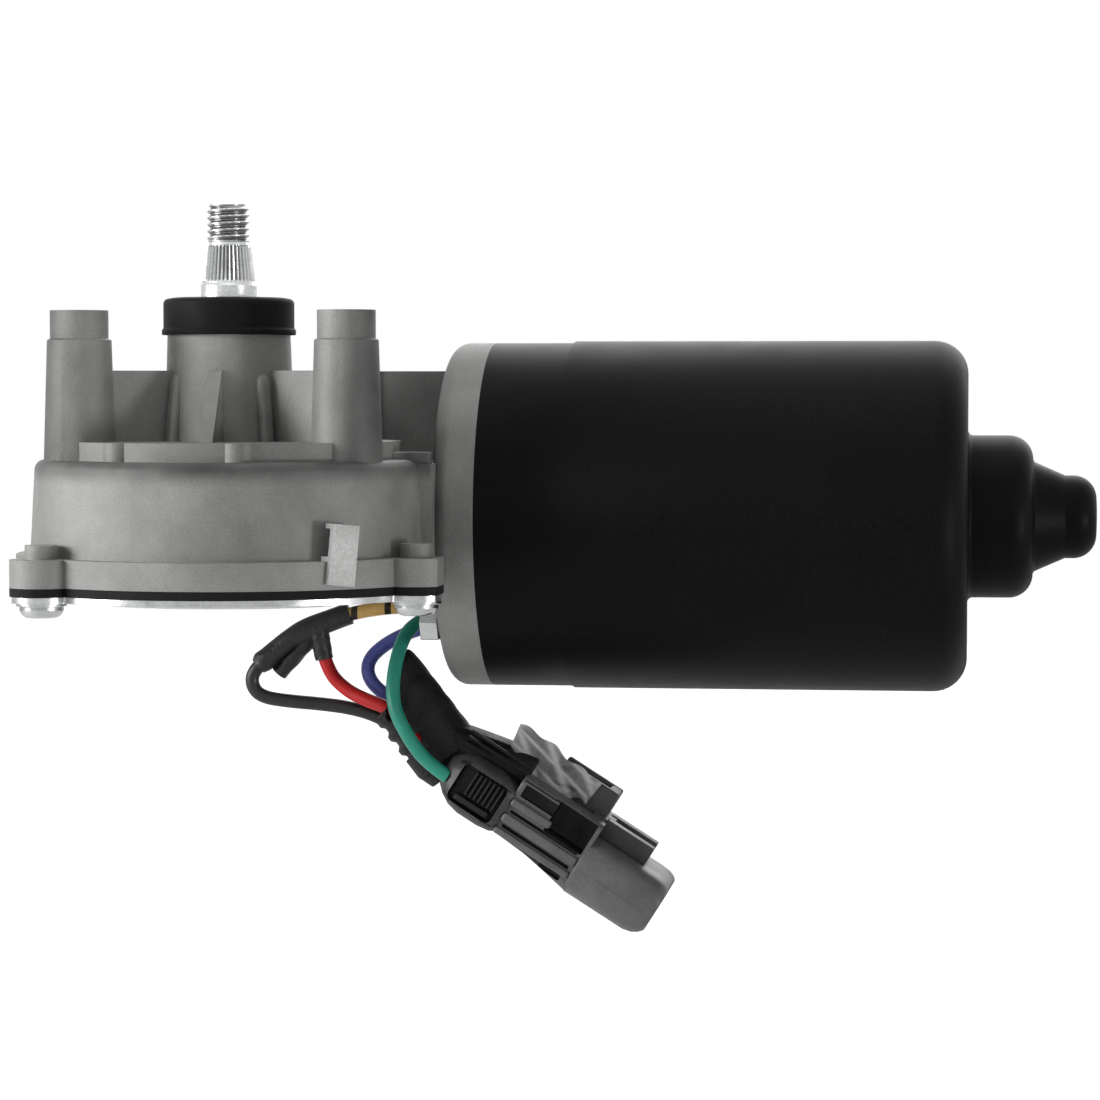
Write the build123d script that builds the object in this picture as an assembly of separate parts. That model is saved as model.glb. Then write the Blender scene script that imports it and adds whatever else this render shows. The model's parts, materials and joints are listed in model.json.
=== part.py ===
from build123d import *
from math import acos, atan2, cos, degrees, pi, radians, sin, tan
import os

# Wiper motor: an armature with a worm on its shaft drives a moulded worm wheel and a
# serrated output shaft.  Millimetres.  Z runs along the output shaft, and Z = 0 is the
# face of the three mounting posts.  X runs along the armature, towards the motor can.

# ---- worm drive ---------------------------------------------------------------------
MODULE = 1.25
WHEEL_TEETH = 45
PRESSURE_ANGLE = 20.0
WORM_PITCH_R = 5.0
TOOTH_PLAY = 0.14
WORM_LENGTH = 21.0
WHEEL_WIDTH = 8.0
WHEEL_R = MODULE * WHEEL_TEETH / 2
WORM_Y = WHEEL_R + WORM_PITCH_R
LEAD = pi * MODULE
ADDENDUM = MODULE
DEDENDUM = 1.25 * MODULE
WHEEL_TIP_R = WHEEL_R + ADDENDUM
WHEEL_ROOT_R = WHEEL_R - DEDENDUM
WORM_TIP_R = WORM_PITCH_R + ADDENDUM
WORM_ROOT_R = WORM_PITCH_R - DEDENDUM

# ---- clearances ---------------------------------------------------------------------
SHAFT_PLAY = 0.04
AXIAL_PLAY = 0.10
WHEEL_GAP = 3.6
CONTACT_GAP = 0.10
SEAL_PLAY = 0.08
AIR_GAP = 0.65

# ---- heights of the gear housing, from the mounting face down ------------------------
POST_STEP_Z = -5.5
WEB_TOP_Z = -11.1
PLATFORM_Z = -24.3
DRUM_TOP_Z = -27.7
ROOF = 3.3
AXIS_Z = -39.2
FLANGE_TOP_Z = -45.4
FLANGE_Z = -50.5
GASKET_T = 1.6
COVER_T = 1.2
DOME_H = 1.1
GASKET_Z = FLANGE_Z - GASKET_T
COVER_Z = GASKET_Z - COVER_T
ROOF_Z = DRUM_TOP_Z - ROOF

# ---- gear housing, in plan -----------------------------------------------------------
CHAMBER_R = WHEEL_TIP_R + WHEEL_GAP
DRUM_WALL = 4.4
DRUM_R = CHAMBER_R + DRUM_WALL
DRAFT = 1.0
DRUM_EDGE = 2.0
PLATFORM_R = 31.5
LOBE_COUNT = 8
LOBE_FIRST_ANGLE = 15.5
LOBE_INSET = 2.0
FLANGE_R = 40.0
FLANGE_BACK_Y = 50.0
FLANGE_HALF_X = 37.8
FLANGE_CORNER = 9.0
MOTOR_SIDE_Y = -5.0
EAR_R = 5.8
EAR_LIMIT_X = 42.6
EAR_CIRCLE_R = 41.0
NEAR_EAR_ANGLES = (226.0, 338.5)
BACK_EAR_X = 31.0
BACK_EAR_Y = 43.5
COVER_SCREW_R = 2.0
COVER_SCREW_DEPTH = 6.5
SCREW_BOSS_R = 3.0
SCREW_BOSS_H = 2.6
SCREW_WASHER_R = 4.6
SCREW_WASHER_T = 0.6
SCREW_HEAD_R = 4.0
SCREW_HEAD_H = 2.8
TAB_ANGLE = 312.0
TAB_GAP = 0.1
TAB_W = 5.6
TAB_T = 0.9
TAB_H = 11.0
TAB_DROP = 4.4
TAB_LIP = 1.6
TAB_LEAN = 6.0

# ---- posts, shaft boss and web -------------------------------------------------------
POST_COUNT = 3
POST_CIRCLE_R = 29.0
POST_R = 5.4
POST_SHOULDER_R = 5.95
POST_FOOT_R = 6.7
POST_FIRST_ANGLE = 90.0
POST_HOLE_R = 2.5
POST_HOLE_DEPTH = 18.0
BOSS_TOP_Z = 0.6
BOSS_R = 11.4
BOSS_FOOT_R = 12.2
GUSSET_COUNT = 3
GUSSET_FIRST_ANGLE = 30.0
WALL_T = 2.6
GUSSET_T = 2.6
GUSSET_REACH = 8.5
LOBE_R = 3.2
WEB_T = 5.0
WEB_LEFT_X = -27.0
TUNNEL_LEFT_X = -30.0
TUNNEL_WALL = 3.6
ADJUSTER_R = 5.0
NECK_L = 9.0
NECK_FRONT_Y = -3.0
NECK_BACK_Y = 43.0
NECK_DROP = 0.8
NECK_SKIRT = 3.0

# ---- output shaft --------------------------------------------------------------------
SHAFT_R = 5.25
SHAFT_TOP_Z = 20.4
CONE_TOP_Z = 12.4
CONE_FOOT_Z = 5.4
CONE_TOP_R = 4.15
CONE_FOOT_R = 4.95
THREAD_R = 4.0
SERRATIONS = 36
SERRATION_DEPTH = 0.35
SHAFT_FOOT_Z = -47.0
BUSH_R = 7.5
UPPER_BUSH_L = 12.0
LOWER_BUSH_L = 12.0
CLIP_GROOVE_R = 4.7
CLIP_R = 8.2
CLIP_T = 1.0
WASHER_T = 0.6
BUSH_TOP_Z = -2.6
COUNTERBORE_R = 9.2
CAP_R = 12.6
CAP_TOP_Z = 2.6
CAP_SKIRT_Z = -4.4

# ---- worm wheel ----------------------------------------------------------------------
HUB_R = 9.0
HUB_LIP_R = 12.0
RIM_INNER_R = 23.5
WHEEL_WEB_T = 4.0
WHEEL_RIBS = 6
WHEEL_RIB_T = 2.0
DISC_OUTER_R = 21.0
DISC_INNER_R = 11.0
DISC_T = 0.5
TRACKS = 3
TRACK_INNER_MARGIN = 1.6
TRACK_OUTER_MARGIN = 2.0
TRACK_PITCH = (DISC_OUTER_R - DISC_INNER_R - TRACK_INNER_MARGIN - TRACK_OUTER_MARGIN) / (TRACKS - 1)
TRACK_RADII = [DISC_INNER_R + TRACK_INNER_MARGIN + TRACK_PITCH * i for i in range(TRACKS)]
PARK_HALF_L = 6.0
WINDOW_HALF_L = 9.0
WINDOW_HALF_W = 1.2
CARRIER_LEFT_X = -19.5
CARRIER_RIGHT_X = -8.0
CARRIER_STAND = 1.6

# ---- motor ---------------------------------------------------------------------------
MOTOR_FLANGE_X = 38.1
MOTOR_FLANGE_EDGE = 3.4
CAN_X = 46.4
CAN_R = 33.6
CAN_STEP = 0.35
CAN_STEP_X = 61.8
CAN_END_X = 138.4
CAN_CORNER = 6.5
CAN_WALL = 1.8
END_BOSS_R = 15.7
END_BOSS_X = 150.9
END_BOSS_CORNER = 4.6
TIP_CONE_R = 10.7
TIP_R = 8.0
TIP_CONE_X = 157.0
TIP_X = 163.0
TIP_CORNER = 4.4
SPIGOT_L = 3.6
SPIGOT_WALL = 7.2
RECESS_FLOOR_X = 42.6
MOTOR_SHAFT_R = 4.0
FRONT_BUSH_X = 31.5
FRONT_BUSH_L = 10.0
TIP_BUSH_X = -24.0
TIP_BUSH_L = 8.0
TIP_JOURNAL_R = 3.0
WORM_BORE_R = WORM_TIP_R + 1.15
MAGNET_T = 9.5
CORE_R = CAN_R + CAN_STEP - CAN_WALL - MAGNET_T - AIR_GAP
CORE_X = 70.0
CORE_L = 45.0
CORE_SLOTS = 12
SLOT_W = 5.2
SLOT_MOUTH = 2.0
SLOT_DEPTH = 9.5
SLOT_FLOOR_R = CORE_R - SLOT_DEPTH
COIL_DROP = 1.8
COIL_R = CORE_R - COIL_DROP
COIL_END = 8.0
MAGNET_ARC = 132.0
MAGNET_OVERHANG = 4.0
COMMUTATOR_R = 11.0
COMMUTATOR_X = 47.5
COMMUTATOR_L = 13.0
COMMUTATOR_BARS = 12
BRUSH_CARD_T = 2.6
BRUSH_PLAY = 0.05
BRUSH_W = 6.0
BRUSH_T = 5.0
BRUSH_X = 52.5
BRUSH_ANGLES = (0.0, 180.0, 60.0)
HOLDER_WALL = 0.7
HOLDER_GAP = 0.95
SPRING_SPACE = 3.6
RECESS_R = CAN_R - CAN_WALL - SPIGOT_WALL
BRUSH_L = RECESS_R - HOLDER_GAP - SPRING_SPACE - COMMUTATOR_R - BRUSH_PLAY
SPRING_R = 1.9
SPRING_WIRE_R = 0.35
REAR_BUSH_R = 7.0
REAR_BUSH_L = 8.0
REAR_BUSH_X = 140.9
SHAFT_END_X = 157.4
THRUST_PAD_R = 3.4
FLANGE_BOLT_R = 2.4
BOLT_EDGE = 3.6
FLANGE_BOLT_CIRCLE_R = CAN_R - CAN_WALL - BOLT_EDGE
FLANGE_BOLT_ANGLE = 225.0
BOLT_HEAD_R = 3.9
BOLT_HEAD_H = 3.5
BOLT_X = 57.0
LUG_X = 50.2

# ---- leads ---------------------------------------------------------------------------
WIRE_R = 1.35
GROMMET_Y = 25.6
GROMMET_Z = -58.6
GROMMET_R = 4.4
GROMMET_NECK_R = 3.9
GROMMET_FACE_X = 36.0
GREEN_ROUTE = [(37.6, 24.0, -57.8), (31.4, 21.3, -59.4), (29.2, 14.6, -66.0), (29.0, 10.6, -74.6),
               (32.2, 10.2, -81.0), (36.0, 10.4, -86.1), (40.03, 10.4, -88.65)]
BLUE_ROUTE = [(37.6, 26.47, -60.0), (31.4, 27.0, -61.5), (25.6, 26.0, -64.2), (22.1, 24.6, -67.4),
              (22.2, 23.2, -70.8), (25.2, 22.8, -74.0), (32.35, 22.8, -77.6), (36.34, 22.8, -82.69)]
YELLOW_ROUTE = [(37.6, 26.9, -56.87), (31.2, 25.7, -57.0), (25.2, 23.2, -57.2), (19.2, 20.6, -58.2),
                (9.4, 20.0, -61.4), (2.3, 20.0, -67.6)]
BLACK_ROUTE = [(2.3, 20.0, -67.6), (0.1, 20.0, -69.52), (-0.2, 20.0, -72.4), (1.7, 20.1, -74.6),
               (6.9, 20.3, -75.4), (13.8, 20.4, -75.9), (19.4, 20.4, -76.6), (24.2, 20.3, -77.9),
               (29.43, 20.3, -80.75), (32.94, 20.3, -85.34)]
RED_ROUTE = [(13.4, 20.0, -63.4), (14.7, 20.0, -69.2), (18.5, 19.6, -73.0), (23.2, 18.0, -75.0),
             (27.0, 17.0, -76.0), (31.45, 17.0, -79.67), (34.76, 17.0, -83.89)]
SLEEVE_R = 2.2
SLEEVE_PLAY = 0.05
SLEEVE_TAIL = [(13.6, 21.2, -60.2), (5.0, 21.2, -70.1)]
SLEEVE_BRANCH = [(12.8, 20.0, -60.6), (14.24, 20.0, -67.0)]

# ---- conduit and connector -----------------------------------------------------------
CONDUIT_SLOPE = 52.0
CONDUIT_MOUTH = (30.38, 20.0, -75.93)
CONDUIT_L = 13.0
CONDUIT_COLLAR_L = 4.0
CONDUIT_INNER_R = 6.6
CONDUIT_WALL = 0.6
CONDUIT_RINGS = 5
CONNECTOR_ORIGIN = (39.5, 20.0, -89.5)
CONNECTOR_SLOPE = 32.3
CONNECTOR_HALF_W = 12.0
REAR_CAP_L = 12.5
REAR_CAP_BOTTOM = -5.5
REAR_CAP_TOP = 6.3
SHROUD_U = 30.0
SHROUD_END_U = 46.5
SHROUD_HALF_H = 6.7
SHROUD_WALL = 1.5
SHROUD_FLOOR = 2.4
BODY_BOTTOM = -3.6
BODY_TOP = 9.5
PIN_COUNT = 5
PIN_PITCH = 4.2
PIN_W = 2.8
PIN_T = 0.8
PIN_TIP_U = 40.0
PIN_ROOT_L = 6.0
STEP_L = 2.5
SHROUD_CORNER = 5.0
GROOVE_U = (14.0, 27.5)
GROOVE_HEIGHTS = (-0.6, 3.0)
GROOVE_W = 1.6
GROOVE_DEPTH = 0.8
BODY_INSET = 1.5
RAIL_HALF_W = 5.5
RAIL_L = 10.6
RAIL_LIP_L = 2.0
RAIL_H = 3.5
RAIL_SLOT_HALF_W = 2.2
RAIL_SLOT_FLOOR = 1.4
HIGH_RAIL_U = (13.0, 29.5)
HIGH_RAIL_HALF_W = 4.5
HIGH_RAIL_H = 5.7
HIGH_RAIL_WALL = 1.9
HIGH_RAIL_FLOOR = 2.0
HIGH_RAIL_STOP = 2.5
WINDOW_U = (3.2, 11.0)
WINDOW_V = (-3.4, 5.0)
WINDOW_DEPTH = 1.2
LOCK_RIBS = 6


# ---- helpers -------------------------------------------------------------------------
def on_motor_axis(x=0.0):
    """Place a shape made along Z so that it runs along the armature, from x."""
    return Pos(x, WORM_Y, AXIS_Z) * Rot(0, 90, 0)


def turned(corners, radii=None):
    """Turn a closed (radius, height) outline about Z, with a radius at each corner."""
    points = [(r, 0, z) for r, z in corners]
    rounding = radii if radii else [0.0] * len(points)
    outline = FilletPolyline(*points, radius=rounding, close=True)
    return revolve(make_face(outline), Axis.Z)


def bar(radius, low, high, bore=0.0):
    """A round bar or tube along Z between two heights."""
    body = Pos(0, 0, (low + high) / 2) * Cylinder(radius, high - low)
    if bore:
        body -= Pos(0, 0, (low + high) / 2) * Cylinder(bore, high - low + 1)
    return body


def block(x, y, z):
    """A box between two limits on each axis."""
    middle = Pos((x[0] + x[1]) / 2, (y[0] + y[1]) / 2, (z[0] + z[1]) / 2)
    return middle * Box(x[1] - x[0], y[1] - y[0], z[1] - z[0])


def around(count, first=0.0):
    """Equal turns about Z."""
    return [Rot(0, 0, first + 360.0 * i / count) for i in range(count)]


def polar(radius, angle):
    return radius * cos(radians(angle)), radius * sin(radians(angle))


def bend_radii(route):
    """The radius at each corner of a lead: 0.45 of its shorter run, over the tangent of half the turn."""
    radii = []
    for a, b, c in zip(route, route[1:], route[2:]):
        before = Vector(*b) - Vector(*a)
        after = Vector(*c) - Vector(*b)
        half_turn = radians(before.get_angle(after)) / 2
        radii.append(0.45 * min(before.length, after.length) / tan(half_turn))
    return radii


def along_route(route, radius):
    """A round bar along straight runs joined by tangent arcs, and the length of its path."""
    path = FilletPolyline(*route, radius=bend_radii(route))
    section = Plane(origin=path @ 0, z_dir=path % 0) * Circle(radius)
    return sweep(section, path=path), path.length


def lead(route, name):
    """One wire, printed with its length, its bends and its volume against section times length."""
    wire, length = along_route(route, WIRE_R)
    share = wire.volume / (pi * WIRE_R ** 2 * length)
    bends = [round(r, 1) for r in bend_radii(route)]
    print(f"{name}: length {length:.1f}, bends {bends}, volume share {share:.4f}")
    return wire


def tube_between(a, b, radius):
    """A straight cylinder from a to b."""
    a, b = Vector(*a), Vector(*b)
    return extrude(Plane(origin=a, z_dir=b - a) * Circle(radius), (b - a).length)


# ---- gear housing --------------------------------------------------------------------
def ear_centres():
    near = [polar(EAR_CIRCLE_R, angle) for angle in NEAR_EAR_ANGLES]
    return near + [(-BACK_EAR_X, BACK_EAR_Y), (BACK_EAR_X, BACK_EAR_Y)]


def flange_outline():
    """The plan of the cover joint: a round front, a square back over the worm, and screw ears."""
    back = Pos(0, FLANGE_BACK_Y / 2) * RectangleRounded(
        2 * FLANGE_HALF_X, FLANGE_BACK_Y, FLANGE_CORNER)
    plan = Circle(FLANGE_R) + back
    for x, y in ear_centres()[:len(NEAR_EAR_ANGLES)]:
        plan += Pos(x, y) * Circle(EAR_R)
    reach = 2 * FLANGE_BACK_Y
    beside_motor = Pos(FLANGE_HALF_X + reach / 2, MOTOR_SIDE_Y + reach / 2) * Rectangle(reach, reach)
    past_ear = Pos(EAR_LIMIT_X + reach / 2, 0) * Rectangle(reach, 2 * reach)
    return plan - beside_motor - past_ear


def post():
    """One mounting post, with the turned land at its face."""
    return turned([(0, DRUM_TOP_Z - 1), (POST_FOOT_R, DRUM_TOP_Z - 1), (POST_SHOULDER_R, POST_STEP_Z),
                   (POST_R, POST_STEP_Z + 0.3), (POST_R, 0), (0, 0)])


def gusset():
    """A triangular rib from the shaft boss down to the platform."""
    inner = BOSS_R - 2.0
    foot = BOSS_FOOT_R + GUSSET_REACH
    side = make_face(Polyline((inner, 0, WEB_TOP_Z), (BOSS_R + 0.9, 0, WEB_TOP_Z),
                              (foot, 0, PLATFORM_Z), (foot, 0, PLATFORM_Z - 0.5),
                              (inner, 0, PLATFORM_Z - 0.5), close=True))
    return extrude(side, GUSSET_T / 2, both=True)


def post_wall():
    """A level wall from the shaft boss out to a post."""
    return block((BOSS_R - 2.0, POST_CIRCLE_R), (-WALL_T / 2, WALL_T / 2), (PLATFORM_Z - 0.5, WEB_TOP_Z))


def motor_flange():
    """The round end of the housing that closes the can, with its spigot."""
    inner = CAN_R - CAN_WALL
    return on_motor_axis() * turned(
        [(0, MOTOR_FLANGE_X), (CAN_R, MOTOR_FLANGE_X), (CAN_R, CAN_X), (inner, CAN_X),
         (inner, CAN_X + SPIGOT_L), (0, CAN_X + SPIGOT_L)],
        [0, MOTOR_FLANGE_EDGE, 0, 0, 0, 0])


def gear_housing():
    drum = turned([(0, FLANGE_TOP_Z - 1), (DRUM_R, FLANGE_TOP_Z - 1),
                   (DRUM_R - DRAFT, DRUM_TOP_Z), (0, DRUM_TOP_Z)], [0, 0, DRUM_EDGE, 0])
    body = drum + bar(PLATFORM_R, DRUM_TOP_Z - 1, PLATFORM_Z)
    for turn in around(LOBE_COUNT, LOBE_FIRST_ANGLE):
        body += turn * Pos(PLATFORM_R - LOBE_INSET, 0, 0) * bar(LOBE_R, DRUM_TOP_Z - 1, PLATFORM_Z)
    body += turned([(0, PLATFORM_Z - 1), (BOSS_FOOT_R, PLATFORM_Z - 1), (BOSS_R, BOSS_TOP_Z),
                    (0, BOSS_TOP_Z)])
    for turn in around(GUSSET_COUNT, GUSSET_FIRST_ANGLE):
        body += turn * gusset()
    for turn in around(POST_COUNT, POST_FIRST_ANGLE):
        body += turn * post_wall()
        body += turn * Pos(POST_CIRCLE_R, 0, 0) * post()

    tunnel_r = WORM_BORE_R + TUNNEL_WALL
    body += on_motor_axis() * bar(tunnel_r, TUNNEL_LEFT_X, MOTOR_FLANGE_X + 1)
    body += block((TUNNEL_LEFT_X + 1, MOTOR_FLANGE_X), (WORM_Y - tunnel_r, WORM_Y + tunnel_r),
                  (FLANGE_TOP_Z - 1, AXIS_Z))
    body += block((WEB_LEFT_X, MOTOR_FLANGE_X + 1), (WORM_Y - WEB_T / 2, WORM_Y + WEB_T / 2),
                  (AXIS_Z + tunnel_r - 2, WEB_TOP_Z))
    body += block((MOTOR_FLANGE_X - NECK_L, MOTOR_FLANGE_X + 1), (NECK_FRONT_Y, NECK_BACK_Y),
                  (FLANGE_TOP_Z - NECK_SKIRT, DRUM_TOP_Z - NECK_DROP))
    body += Pos(0, 0, FLANGE_Z) * extrude(flange_outline(), FLANGE_TOP_Z - FLANGE_Z)
    for x, y in ear_centres()[:len(NEAR_EAR_ANGLES)]:
        body += Pos(x, y, 0) * bar(SCREW_BOSS_R, FLANGE_TOP_Z - 1, FLANGE_TOP_Z + SCREW_BOSS_H)
    body += motor_flange()

    body -= bar(CHAMBER_R, FLANGE_Z - 1, ROOF_Z)
    body -= bar(BUSH_R, ROOF_Z - 1, BOSS_TOP_Z + 1)
    body -= bar(COUNTERBORE_R, BUSH_TOP_Z, BOSS_TOP_Z + 1)
    body -= on_motor_axis() * bar(WORM_BORE_R, TIP_BUSH_X, CAN_X)
    body -= on_motor_axis() * bar(ADJUSTER_R, TUNNEL_LEFT_X - 1, TIP_BUSH_X + 1)
    body -= on_motor_axis() * bar(RECESS_R, RECESS_FLOOR_X, CAN_X + SPIGOT_L + 1)
    for turn in around(POST_COUNT, POST_FIRST_ANGLE):
        body -= turn * Pos(POST_CIRCLE_R, 0, 0) * bar(POST_HOLE_R, -POST_HOLE_DEPTH, 1)
    for x, y in ear_centres():
        body -= Pos(x, y, 0) * bar(COVER_SCREW_R, FLANGE_Z - 1, FLANGE_Z + COVER_SCREW_DEPTH)
    for place in flange_bolt_places():
        body -= place * bar(FLANGE_BOLT_R, MOTOR_FLANGE_X - 1, CAN_X + SPIGOT_L + 1)
    body -= grommet_place() * bar(GROMMET_NECK_R, MOTOR_FLANGE_X - 1, CAN_X + SPIGOT_L + 1)
    return body


def flange_bolt_places():
    """Where the two screws that hold the can lie, on opposite sides of the motor axis."""
    places = []
    for angle in (FLANGE_BOLT_ANGLE, FLANGE_BOLT_ANGLE - 180):
        y, z = polar(FLANGE_BOLT_CIRCLE_R, angle)
        places.append(Pos(0, WORM_Y + y, AXIS_Z + z) * Rot(0, 90, 0))
    return places


def grommet_place():
    return Pos(0, GROMMET_Y, GROMMET_Z) * Rot(0, 90, 0)


# ---- cover side ----------------------------------------------------------------------
def cover_gasket():
    plan = flange_outline() - Circle(CHAMBER_R + 0.5)
    for x, y in ear_centres():
        plan -= Pos(x, y) * Circle(COVER_SCREW_R)
    return Pos(0, 0, GASKET_Z) * extrude(plan, GASKET_T)


def cover_plate():
    """The pressed steel cover, dished outwards under the wheel."""
    plan = offset(flange_outline(), -0.4)
    for x, y in ear_centres():
        plan -= Pos(x, y) * Circle(COVER_SCREW_R)
    plate = Pos(0, 0, COVER_Z) * extrude(plan, COVER_T)
    dish_r = dish_radius()
    outer = turned([(0, COVER_Z - DOME_H), (dish_r, COVER_Z - DOME_H), (dish_r + 3, COVER_Z + 0.2),
                    (0, COVER_Z + 0.2)], [0, 3.0, 0, 0])
    inner = turned([(0, COVER_Z - DOME_H + COVER_T), (dish_r - 0.6, COVER_Z - DOME_H + COVER_T),
                    (dish_r + 1.6, GASKET_Z + 1), (0, GASKET_Z + 1)])
    return plate + outer - inner


def dish_radius():
    return CHAMBER_R - 5.0


def cover_screws():
    """Four pan-head screws with washers."""
    tip = FLANGE_Z + COVER_SCREW_DEPTH - 0.6
    washer_z = COVER_Z - SCREW_WASHER_T
    screw = turned([(0, COVER_Z - SCREW_HEAD_H), (SCREW_HEAD_R * 0.6, COVER_Z - SCREW_HEAD_H),
                    (SCREW_HEAD_R, washer_z), (SCREW_WASHER_R, washer_z), (SCREW_WASHER_R, COVER_Z),
                    (COVER_SCREW_R, COVER_Z), (COVER_SCREW_R, tip), (0, tip)])
    return [Pos(x, y, 0) * screw for x, y in ear_centres()]


def earth_tab():
    """A plated spring tab riveted on the flange, standing up in front of the drum."""
    stand = FLANGE_R + TAB_GAP
    low = FLANGE_TOP_Z - TAB_DROP
    across = (-TAB_W / 2, TAB_W / 2)
    plate = block((stand, stand + TAB_T), across, (low, low + TAB_H))
    foot = block((DRUM_R + 0.4, stand + TAB_T), across, (FLANGE_TOP_Z, FLANGE_TOP_Z + TAB_T))
    lip = block((stand - TAB_LIP, stand + TAB_T), across, (low + TAB_H - TAB_T, low + TAB_H))
    middle = FLANGE_TOP_Z + TAB_T / 2
    leaning = Pos(0, 0, middle) * Rot(-TAB_LEAN, 0, 0) * Pos(0, 0, -middle) * (plate + lip)
    return Rot(0, 0, TAB_ANGLE) * (leaning + foot)


# ---- output side ---------------------------------------------------------------------
def upper_bush():
    return bar(BUSH_R, BUSH_TOP_Z - UPPER_BUSH_L, BUSH_TOP_Z, SHAFT_R + SHAFT_PLAY)


def lower_bush():
    return bar(BUSH_R, ROOF_Z, ROOF_Z + LOWER_BUSH_L, SHAFT_R + SHAFT_PLAY)


def shaft_washer():
    return bar(CLIP_R - 0.3, BUSH_TOP_Z, BUSH_TOP_Z + WASHER_T, SHAFT_R + SHAFT_PLAY)


def clip_z():
    return BUSH_TOP_Z + WASHER_T + AXIAL_PLAY


def shaft_clip():
    """An open ring in the groove of the output shaft."""
    ring = bar(CLIP_R, clip_z(), clip_z() + CLIP_T, CLIP_GROOVE_R)
    mouth = block((0, CLIP_R + 1), (-3.2, 3.2), (clip_z() - 1, clip_z() + CLIP_T + 1))
    return ring - mouth


def seal_cap():
    """The rubber cap over the top of the shaft boss, with a lip round the shaft."""
    return turned([(SHAFT_R + SEAL_PLAY, BOSS_TOP_Z + 0.9), (SHAFT_R + SEAL_PLAY, CAP_TOP_Z),
                   (CAP_R - 0.9, CAP_TOP_Z), (CAP_R - 0.3, CAP_TOP_Z - 0.7), (CAP_R - 0.3, CAP_SKIRT_Z + 1.2),
                   (CAP_R, CAP_SKIRT_Z + 0.6), (CAP_R, CAP_SKIRT_Z), (boss_radius(CAP_SKIRT_Z), CAP_SKIRT_Z),
                   (BOSS_R, BOSS_TOP_Z), (COUNTERBORE_R + 0.4, BOSS_TOP_Z),
                   (COUNTERBORE_R + 0.4, BOSS_TOP_Z + 0.9)])


def boss_radius(z):
    """The boss's drafted radius at a height."""
    share = (BOSS_TOP_Z - z) / (BOSS_TOP_Z - PLATFORM_Z + 1)
    return BOSS_R + (BOSS_FOOT_R - BOSS_R) * share


def star(radius, z):
    """The serrations' outline at one height."""
    points = []
    for i in range(2 * SERRATIONS):
        reach = radius if i % 2 == 0 else radius - SERRATION_DEPTH
        points.append((*polar(reach, 180.0 * i / SERRATIONS), z))
    return make_face(Polyline(*points, close=True))


def serrated_cone():
    """The tapered seat of the wiper crank, with straight serrations."""
    return loft([star(CONE_FOOT_R, CONE_FOOT_Z), star(CONE_TOP_R, CONE_TOP_Z)], ruled=True)


def output_shaft():
    hub_top = hub_top_z()
    groove_low = clip_z()
    groove_high = groove_low + CLIP_T
    stem = turned([(0, SHAFT_FOOT_Z), (SHAFT_R - 0.6, SHAFT_FOOT_Z), (SHAFT_R, SHAFT_FOOT_Z + 0.6),
                   (SHAFT_R, hub_top), (SHAFT_R, groove_low), (CLIP_GROOVE_R, groove_low),
                   (CLIP_GROOVE_R, groove_high), (SHAFT_R, groove_high),
                   (SHAFT_R, CONE_FOOT_Z - 0.4), (CONE_FOOT_R, CONE_FOOT_Z), (0, CONE_FOOT_Z)])
    thread = turned([(0, CONE_TOP_Z - 0.5), (THREAD_R - 0.3, CONE_TOP_Z - 0.5), (THREAD_R - 0.3, CONE_TOP_Z + 0.5),
                     (THREAD_R, CONE_TOP_Z + 0.9), (THREAD_R, SHAFT_TOP_Z - 1.1),
                     (THREAD_R - 1.1, SHAFT_TOP_Z), (0, SHAFT_TOP_Z)])
    return stem + serrated_cone() + thread


def hub_top_z():
    return ROOF_Z - WASHER_T - AXIAL_PLAY


def thrust_washer():
    return bar(HUB_R - 0.6, ROOF_Z - WASHER_T, ROOF_Z, SHAFT_R + SHAFT_PLAY)


def wheel_hub():
    """The knurled steel hub that the wheel is moulded on."""
    low = AXIS_Z - WHEEL_WIDTH / 2
    return bar(HUB_R, low, hub_top_z(), SHAFT_R)


def wheel_profile():
    """The wheel's plan: involute flanks in two straight spans, centred gaps at 90 degrees."""
    base_r = WHEEL_R * cos(radians(PRESSURE_ANGLE))

    def roll(radius):
        angle = acos(min(1.0, base_r / radius))
        return tan(angle) - angle

    def half_angle(radius):
        return (pi / 4 * MODULE * 2 - TOOTH_PLAY) / 2 / WHEEL_R + roll(WHEEL_R) - roll(radius)

    radii = (WHEEL_ROOT_R, WHEEL_R, WHEEL_TIP_R)
    points = []
    for i in range(WHEEL_TEETH):
        middle = pi / 2 + 2 * pi * (i + 0.5) / WHEEL_TEETH
        for radius in radii:
            points.append((radius, middle - half_angle(radius)))
        for radius in reversed(radii):
            points.append((radius, middle + half_angle(radius)))
    return make_face(Polyline(*[(r * cos(a), r * sin(a)) for r, a in points], close=True))


def worm_wheel():
    """The moulded wheel: helical teeth to suit the worm, a ribbed web and a hub ring."""
    low = AXIS_Z - WHEEL_WIDTH / 2
    high = AXIS_Z + WHEEL_WIDTH / 2
    lead_slope = LEAD / (2 * pi * WORM_PITCH_R)
    twist = degrees(WHEEL_WIDTH * lead_slope / WHEEL_R)
    face = wheel_profile().faces()[0]
    blank = Solid.extrude_linear_with_rotation(face, (0, 0, 0), (0, 0, WHEEL_WIDTH), twist)
    wheel = Pos(0, 0, low) * Rot(0, 0, -twist / 2) * Part(blank.wrapped)
    web_top = low + WHEEL_WEB_T
    wheel -= bar(RIM_INNER_R, web_top, high + 1) - bar(HUB_LIP_R, web_top - 1, high + 2)
    for turn in around(WHEEL_RIBS, 15.0):
        wheel += turn * block((HUB_LIP_R - 0.5, RIM_INNER_R + 0.5),
                              (-WHEEL_RIB_T / 2, WHEEL_RIB_T / 2), (web_top - 0.5, high - 1.2))
    return wheel - bar(HUB_R, low - 1, high + 1)


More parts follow.
